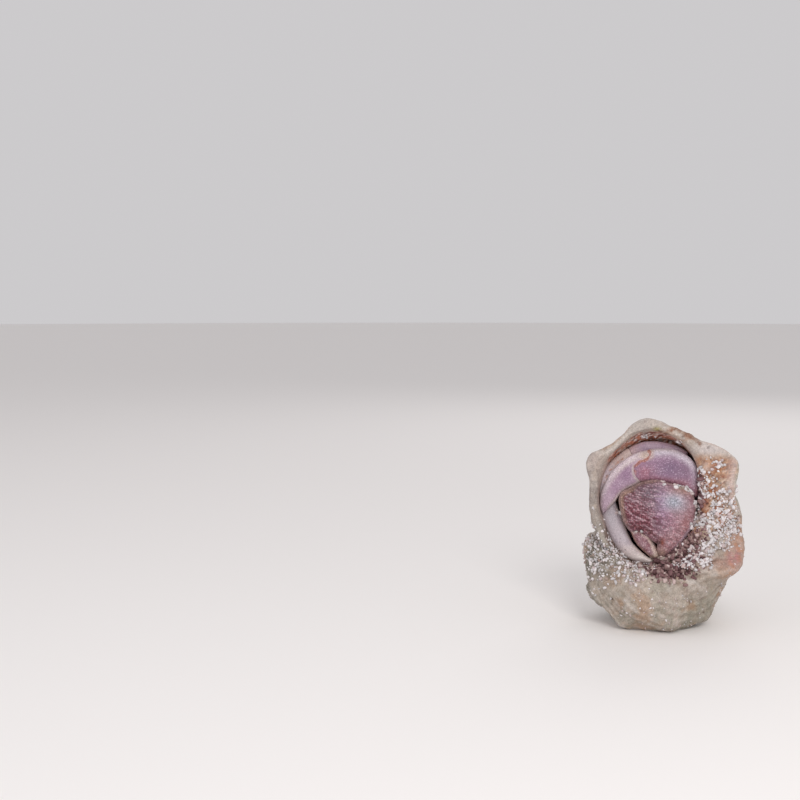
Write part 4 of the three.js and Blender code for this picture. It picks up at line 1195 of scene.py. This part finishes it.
def leg2_dactyl():
    piece = leg2_length("left_leg2_dactyl_looks", True)
    u, v, tip, soft = cuticle(piece, 601, 0.03, 2.4, 0.04)
    spot = spots(u, v)
    outer = from_curve(u, v, LEG2_OUTER)
    inner = from_curve(u, v, LEG2_INNER[:7])
    speck_distance, chance = cells(points_of(piece), 1.3, 607)
    specks = smooth(speck_distance, 0.3, 0.1) * (chance < 0.4)
    from_crease, _ = beside(u, v, np.array(LEG2_CREASE))
    return paint(
        piece,
        (184, 172, 178),
        ((200, 178, 170), smooth(v, 6, 10) * 0.85),
        # The strip beside the third leg: partly its own pale colour, partly painted light where it lies in
        # that leg's shade.
        ((222, 206, 212), spot(-11.6, 5.6, 2.0, 4.0) * 0.8),
        ((172, 168, 176), spot(-10.2, -5.0, 1.6, 3.4) * 0.5),
        ((198, 182, 178), smooth(v, -11.0, -14.0) * 0.8),
        ((214, 202, 196), spot(-1.2, -15.4, 3.0, 1.6) * 0.85),
        ((190, 178, 176), smooth(outer, 0.7, 0.2) * 0.5),
        ((196, 182, 172), smooth(inner, 0.6, 0.2) * 0.6),
        ((168, 100, 60), smooth(from_crease + 0.4 * soft, 0.5, 0.1) * smooth(soft, -0.4, 0.3) * 0.8),
        ((146, 128, 142), smooth(soft, 0.1, 0.7) * 0.25),
        ((208, 200, 204), tip * 0.25),
        ((132, 114, 120), specks * 0.8),
    )


# ---- Parts that the shell hides ----

HIDDEN_VOXEL = 0.24
SKIN_CLOSING = 0.3  # gaps in the skin up to twice this are closed
FOLDS_PER_TURN, FOLD_HEIGHT = 38, 0.012
ABDOMEN_TURNS = (-1.015, -0.98, -0.88, -0.75, -0.6, -0.5, -0.43, -0.411)
ABDOMEN_SHARE = (0.2, 0.6, 0.7, 0.76, 0.78, 0.62, 0.56, 0.3)  # of the tube's radius, at each of those turns


def node_copy(node):
    """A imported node's mesh in millimetres, as an object of its own."""
    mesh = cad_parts[node].data.copy()
    mesh.transform(Matrix.Scale(1 / MM, 4))
    return placed(f"{node}_looks", mesh)


def grained(piece, seed, ground, tips, height):
    """Gives a plain piece its swells, grains and colours."""
    points = points_of(piece)
    lift, tip = granules(points, 0.8, 0.7, height, seed)
    swell(piece, lift + 0.06 * fractal(points, 2.0, 2, seed + 3))
    soft = fractal(points, 1.8, 3, seed + 5)
    paint(piece, ground, (0.6 * colour(*ground), smooth(soft, -0.3, 0.6) * 0.7), (tips, tip * 0.4))


def refined(node, seed, ground, tips, height):
    """A fine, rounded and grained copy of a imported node."""
    piece = node_copy(node)
    remesh(piece, HIDDEN_VOXEL)
    relax(piece, 3)
    grained(piece, seed, ground, tips, height)
    return piece


def soft_body(limbs):
    """The rear carapace, the ringed abdomen that winds into the spire, and the small legs: one skin."""

    def radius_at(angle, turn):
        folds = FOLD_HEIGHT * np.cos((turn + 1) * 2 * math.pi * FOLDS_PER_TURN)
        return throat(angle) * (np.interp(turn, ABDOMEN_TURNS, ABDOMEN_SHARE) + folds)

    turns = np.linspace(ABDOMEN_TURNS[0], ABDOMEN_TURNS[-1], 220)
    piece = spiral_solid("soft_skin_looks", turns, TUBE_AROUND, radius_at)
    shape = bmesh.new()
    shape.from_mesh(piece.data)
    for limb in limbs:
        copy = node_copy(limb)
        shape.from_mesh(copy.data)
        bpy.data.objects.remove(copy)
    shape.to_mesh(piece.data)
    shape.free()
    swell(piece, SKIN_CLOSING)
    remesh(piece, HIDDEN_VOXEL)
    swell(piece, -SKIN_CLOSING)
    relax(piece, 2)
    grained(piece, 701, (196, 150, 128), (206, 170, 150), 0.04)
    return piece


# ---- Sand and crumbs stuck on the shell and the claw ----

# Where grains lie: across, up, and how far the patch reaches each way, then how thickly they lie, or
# below nought how thinly.
MOUTH_SAND = (
    (14.2, 4.6, 2.0, 3.2, 0.05), (19.2, 2.0, 1.4, 2.6, 0.04), (16.9, -5.6, 2.8, 3.4, 1.5),
    (17.6, -1.4, 2.2, 2.0, 0.6), (13.4, -12.2, 2.4, 2.0, 1.6), (11.9, -1.6, 0.8, 3.6, 0.9),
    (18.6, -11.4, 1.0, 0.8, 0.7), (17.2, 9.8, 1.0, 0.7, 0.16), (-1.8, 16.4, 0.4, 0.3, 9.0),
    (1.3, 16.3, 0.3, 0.2, 5.0), (3.8, 15.7, 0.3, 0.2, 5.0), (6.4, 15.0, 0.5, 0.3, 3.5),
    (8.6, 19.2, 1.0, 0.4, 0.3), (9.8, -15.4, 2.6, 1.0, 0.25), (6.6, -13.6, 2.2, 1.2, -0.7),
    (13.6, -8.0, 0.8, 1.8, -0.9), (13.9, -1.4, 1.1, 1.3, -1.2), (11.3, -9.8, 1.3, 1.7, -1.2),
    (17.0, -13.2, 1.3, 1.6, -0.5),
)
WHORL_SAND = (
    (-9.8, -14.8, 5.2, 4.0, 1.0), (-5.0, -18.6, 4.0, 1.6, 0.9), (-14.2, -13.0, 1.8, 3.4, 0.5),
)
CLAW_SAND = (
    (3.3, 4.6, 0.5, 0.3, 0.8), (7.2, 3.8, 0.9, 0.4, 2.2), (8.8, 3.1, 0.7, 0.4, 1.8),
    (10.4, 2.2, 0.4, 0.4, 0.8), (11.6, -0.6, 0.3, 0.9, 0.9), (11.6, -4.6, 0.4, 1.4, 0.7),
    (10.4, -8.0, 0.4, 1.2, 0.35), (-8.2, -3.7, 0.5, 0.3, 0.9), (-3.6, -8.5, 0.6, 0.3, 0.7),
    (2.3, -15.0, 0.6, 0.4, 0.9),
)
CRUMBS = (
    (5.0, -17.6, 4.2, 1.8, 1.0), (9.8, -11.6, 2.4, 3.0, 0.8), (7.8, -13.6, 2.4, 1.2, 1.0),
    (13.5, -7.8, 0.9, 2.2, 0.9), (12.8, 2.6, 0.5, 3.2, 0.5), (11.2, -9.4, 1.0, 1.4, 0.8),
)
# Colours of the grains with the share of each, and the range of their brightness.
CORAL = (
    (((224, 218, 219), 0.45), ((200, 195, 196), 0.27), ((204, 187, 186), 0.17), ((160, 140, 130), 0.11)),
    (0.85, 1.05),
)
CRUMB = (
    (((118, 84, 86), 0.4), ((144, 114, 112), 0.25), ((86, 54, 56), 0.2), ((196, 174, 170), 0.15)),
    (1, 1),
)
GRAIN_SHAPES = 12
GRAIN_SIDES = 9  # flat sides worn on each
GRAIN_RISE = 0.05  # how far a grain's middle lies above the surface, in its sizes
SMALL_GRAINS = 1.6  # power that makes small grains commoner than large ones
BAKE_PATCH = 0.003  # size of a grain's patch in its bake map


def grain_shape(seed):
    """Points and faces of one rounded, irregular grain about 1 across."""
    shape = bmesh.new()
    bmesh.ops.create_icosphere(shape, subdivisions=2, radius=0.5)
    points = np.array([corner.co for corner in shape.verts])
    faces = np.array([[corner.index for corner in face.verts] for face in shape.faces])
    shape.free()
    chance = np.random.default_rng(seed)
    points *= (1 + 0.4 * noise(points, 0.5, seed))[:, None]
    for side in chance.normal(size=(GRAIN_SIDES, 3)):
        side /= np.linalg.norm(side)
        points -= np.maximum(0, points @ side - chance.uniform(0.24, 0.4))[:, None] * side
    return points * chance.uniform((0.95, 0.8, 0.65), (1.3, 1.05, 0.9)), faces


def cover_of(points, patches):
    """How thickly grains lie at each point."""
    u, v, _ = to_mouth(points)
    spot = spots(u, v)
    return np.maximum(0, sum(thick * spot(*patch) for *patch, thick in patches))


def scatter(points, cover, apart, count, seed):
    """Numbers of points picked at random by their cover, and none nearer to another than `apart`."""
    chance = np.random.default_rng(seed)
    picked = []
    for i in chance.choice(len(points), 12 * count, p=cover / cover.sum()):
        if len(picked) == count:
            break
        if ((points[picked] - points[i]) ** 2).sum(axis=1).min(initial=np.inf) > apart**2:
            picked.append(i)
    return np.array(picked)


def heap(name, roots, out, sizes, tints, unwrapped, seed):
    """Grains sunk nearly halfway into a surface at some roots, with their bake map."""
    chance = np.random.default_rng(seed)
    shapes = [grain_shape(seed + k) for k in range(GRAIN_SHAPES)]
    places, faces, shades, maps = [], [], [], []
    for k, (root, up, size) in enumerate(zip(roots, out, sizes)):
        shape, sides = shapes[chance.integers(GRAIN_SHAPES)]
        turned = np.linalg.qr(chance.normal(size=(3, 3)))[0]
        grain = shape @ turned
        places.append(root + up * size * GRAIN_RISE + grain * size)
        faces.append(sides + k * len(shape))
        shades.append(np.tile(tints[k], (len(shape), 1)))
        maps.append(unwrapped[k] + grain[:, :2] * BAKE_PATCH)
    piece = make_object(name, np.concatenate(places), [np.concatenate(faces)])
    set_shade(piece, np.concatenate(shades))
    corners = get_values(piece.data.loops, "vertex_index", 1, np.int32).ravel()
    layer = piece.data.uv_layers.new(name="OFBake")
    set_values(layer.data, "uv", np.concatenate(maps)[corners])
    return piece


def polar_map(points, middle, reach):
    """An unwrap by the direction and distance of places from a middle across and up the mouth."""
    u, v, _ = to_mouth(points)
    u, v = u - middle[0], v - middle[1]
    turned = np.arctan2(v, u) / (2 * math.pi) + 0.5
    return np.clip(np.stack([turned, np.hypot(u, v) / reach], axis=1), 0.01, 0.99)


def grain_colours(count, kinds, brightness, seed):
    """Colours of grains, picked at random from kinds of (colour, share)."""
    chance = np.random.default_rng(seed)
    colours = np.array([colour(*kind) for kind, _ in kinds])
    picked = chance.choice(len(kinds), count, p=[share for _, share in kinds])
    return colours[picked] * chance.uniform(*brightness, (count, 1))


def grains_on(host, name, cover, unwrapped, apart, count, sizes, look, seed):
    """Scatters grains over a host's points and normals, and finishes them as a piece."""
    points, normals = host
    picked = scatter(points, cover, apart, count, seed)
    size = mix(*sizes, np.random.default_rng(seed + 1).random(len(picked)) ** SMALL_GRAINS)
    shades = grain_colours(len(picked), *look, seed + 2)
    piece = heap(name, points[picked], normals[picked], size, shades, unwrapped[picked], seed + 3)
    finish_piece(piece, SAND, "sand_grains")


# ---- The model ----

shell, shell_turn, shell_angle = shell_looks()
shell_points, shell_normals = points_of(shell), normals_of(shell)
finish_piece(shell, SHELL, "shell", "shell")

palm, leg2_end = claw_palm(), leg2_dactyl()
claw_points = np.concatenate([points_of(palm), points_of(leg2_end)])
claw_normals = np.concatenate([normals_of(palm), normals_of(leg2_end)])
for piece, material, slot, node in (
    (palm, CLAW, "claw_plate", "left_claw_palm"),
    (claw_finger(), CLAW, "claw_plate", "left_claw_finger"),
    (leg3_propodus(), LEG, "leg_plate", "left_leg3_propodus"),
    (leg3_dactyl(), LEG, "leg_plate", "left_leg3_dactyl"),
    (leg2_propodus(), LEG, "leg_plate", "left_leg2_propodus"),
    (leg2_end, PALE_LEG, "pale_leg_plate", "left_leg2_dactyl"),
):
    finish_piece(piece, material, slot, node)

MOUTH_REACH, CLAW_REACH = 24, 20
u, v, w = to_mouth(shell_points)
toward = smooth(-shell_normals @ INTO_MOUTH, -0.3, 0.3)
on_last_whorl = (shell_turn > -0.98) & (shell_points[:, 2] > 1)
mouth_cover = cover_of(shell_points, MOUTH_SAND) * toward * smooth(w, 6, 5)
crumb_cover = cover_of(shell_points, CRUMBS) * toward * smooth(w, 7, 6)
whorl_cover = cover_of(shell_points, WHORL_SAND) * toward * on_last_whorl
sparse = smooth(shell_points[:, 2], 26, 4) * smooth(fractal(shell_points, 6, 2, 91), -0.3, 0.5)
sparse = sparse * on_last_whorl * smooth(np.abs(w - 2) + 0.3 * np.hypot(u, v), 6, 8)
mouth_map = polar_map(shell_points, (0, 0), MOUTH_REACH)
whorl_map = np.clip(np.stack([np.mod(shell_angle, 360) / 360, shell_turn + 1], axis=1), 0.01, 0.99)
# Name, cover, bake map, least distance apart, count, sizes, colours and seed of each lot of grains.
for lot in (
    ("sand_in_mouth", mouth_cover, mouth_map, 0.5, 700, (0.55, 1.6), CORAL, 11),
    ("crumbs_in_mouth", crumb_cover, mouth_map, 0.6, 270, (0.6, 1.9), CRUMB, 21),
    ("sand_below_mouth", whorl_cover, whorl_map, 0.5, 700, (0.5, 1.5), CORAL, 31),
    ("sand_around", sparse, whorl_map, 0.7, 420, (0.3, 0.85), CORAL, 41),
):
    grains_on((shell_points, shell_normals), *lot)
claw_cover = cover_of(claw_points, CLAW_SAND) * smooth(-claw_normals @ INTO_MOUTH, -0.3, 0.3)
claw_map = polar_map(claw_points, PALM_MIDDLE, CLAW_REACH)
grains_on((claw_points, claw_normals), "sand_on_claw", claw_cover, claw_map, 0.7, 56, (1.0, 2.0), CORAL, 51)

# Material, slot, colours of the ground and of the grains' tips, height of the grains, and nodes.
HIDDEN = (
    (CLAW, "claw_plate", (146, 104, 120), (196, 166, 176), 0.1,
     "left_claw_wrist left_claw_arm right_claw_arm right_claw_wrist right_claw_palm right_claw_finger"),
    (LEG, "leg_plate", (164, 122, 148), (200, 178, 190), 0.06,
     "left_leg3_carpus left_leg3_merus left_leg2_carpus left_leg2_merus right_leg3_merus "
     "right_leg3_carpus right_leg3_propodus right_leg3_dactyl right_leg2_merus right_leg2_carpus "
     "right_leg2_propodus right_leg2_dactyl"),
    (CARAPACE, "carapace", (172, 144, 136), (206, 186, 176), 0.05,
     "mouthparts left_eyestalk right_eyestalk shield tail_fan left_antenna left_antennule "
     "right_antenna right_antennule"),
    (EYE, "eye", (36, 30, 30), (60, 50, 48), 0.0, "left_eye right_eye"),
)
for material, slot, ground, tips, height, nodes in HIDDEN:
    for seed, node in enumerate(nodes.split()):
        finish_piece(refined(node, 801 + seed, ground, tips, height), material, slot, node)

SMALL_LEGS = ("left_leg4", "left_leg5", "right_leg5", "right_leg4")
SKINNED = ("rear_carapace", "abdomen_front", "abdomen_middle", "abdomen_rear", *SMALL_LEGS)
finish_piece(soft_body(SMALL_LEGS), SKIN, "soft_skin", *SKINNED)

# ---- Camera, light and floor ----

PICTURE = 800  # pixels each way
MOUTH_PIXEL = (650.3, 499.8)  # where the middle of the mouth lies in the picture
MM_PER_PIXEL = 0.26
LENS = 50.0
SENSOR = 36.0
ELEVATION = math.radians(10)


def aim_camera():
    """A camera that is panned and tilted so that the mouth lies where it does in the picture."""
    pixels = LENS / SENSOR * PICTURE
    x = (MOUTH_PIXEL[0] - PICTURE / 2) / pixels
    y = (PICTURE / 2 - MOUTH_PIXEL[1]) / pixels
    ray = math.sqrt(1 + x * x + y * y)
    distance = MM_PER_PIXEL * pixels * ray
    pitch = math.asin(-ray * math.sin(ELEVATION) / math.sqrt(1 + y * y)) - math.atan(y)
    heading = math.atan2(x, math.cos(pitch) - y * math.sin(pitch))
    data = bpy.data.cameras.new("camera")
    data.lens, data.sensor_width = LENS, SENSOR
    data.clip_start, data.clip_end = 0.01, 20
    camera = placed("camera", data)
    back = np.array((0, -math.cos(ELEVATION), math.sin(ELEVATION)))
    camera.location = (MOUTH_CENTRE + back * distance) * MM
    camera.rotation_euler = (math.pi / 2 + pitch, 0, heading)
    bpy.context.scene.camera = camera


def add_light(name, place, aim, size, power, tint):
    data = bpy.data.lights.new(name, "AREA")
    data.size, data.energy, data.color = size, power, tint
    light = placed(name, data)
    light.location = place
    light.rotation_euler = (Vector(aim) - Vector(place)).to_track_quat("-Z", "Y").to_euler()


def add_stage():
    bpy.ops.mesh.primitive_circle_add(vertices=96, radius=4, fill_type="NGON")
    floor = bpy.context.object
    floor.name = "floor"
    paper = bpy.data.materials.new("pale_floor")
    paper.use_nodes = True
    shader = paper.node_tree.nodes["Principled BSDF"]
    shader.inputs["Base Color"].default_value = (*colour(243, 240, 238), 1)
    shader.inputs["Roughness"].default_value = 0.9
    floor.data.materials.append(paper)
    world = bpy.context.scene.world or bpy.data.worlds.new("world")
    bpy.context.scene.world = world
    world.use_nodes = True
    sky = world.node_tree.nodes["Background"]
    sky.inputs["Color"].default_value = (*colour(232, 230, 232), 1)
    sky.inputs["Strength"].default_value = 0.75


aim_camera()
add_stage()
middle = (0, 0, 0.028)
add_light("key", (0.13, -0.36, 0.3), middle, 0.2, 0.85, (1, 0.98, 0.96))
add_light("fill", (-0.35, -0.4, 0.18), middle, 0.5, 0.6, (0.96, 0.97, 1))
add_light("back", (0.1, 0.5, 0.4), middle, 0.4, 0.5, (1, 0.98, 0.97))
bpy.context.scene.view_settings.view_transform = "Standard"
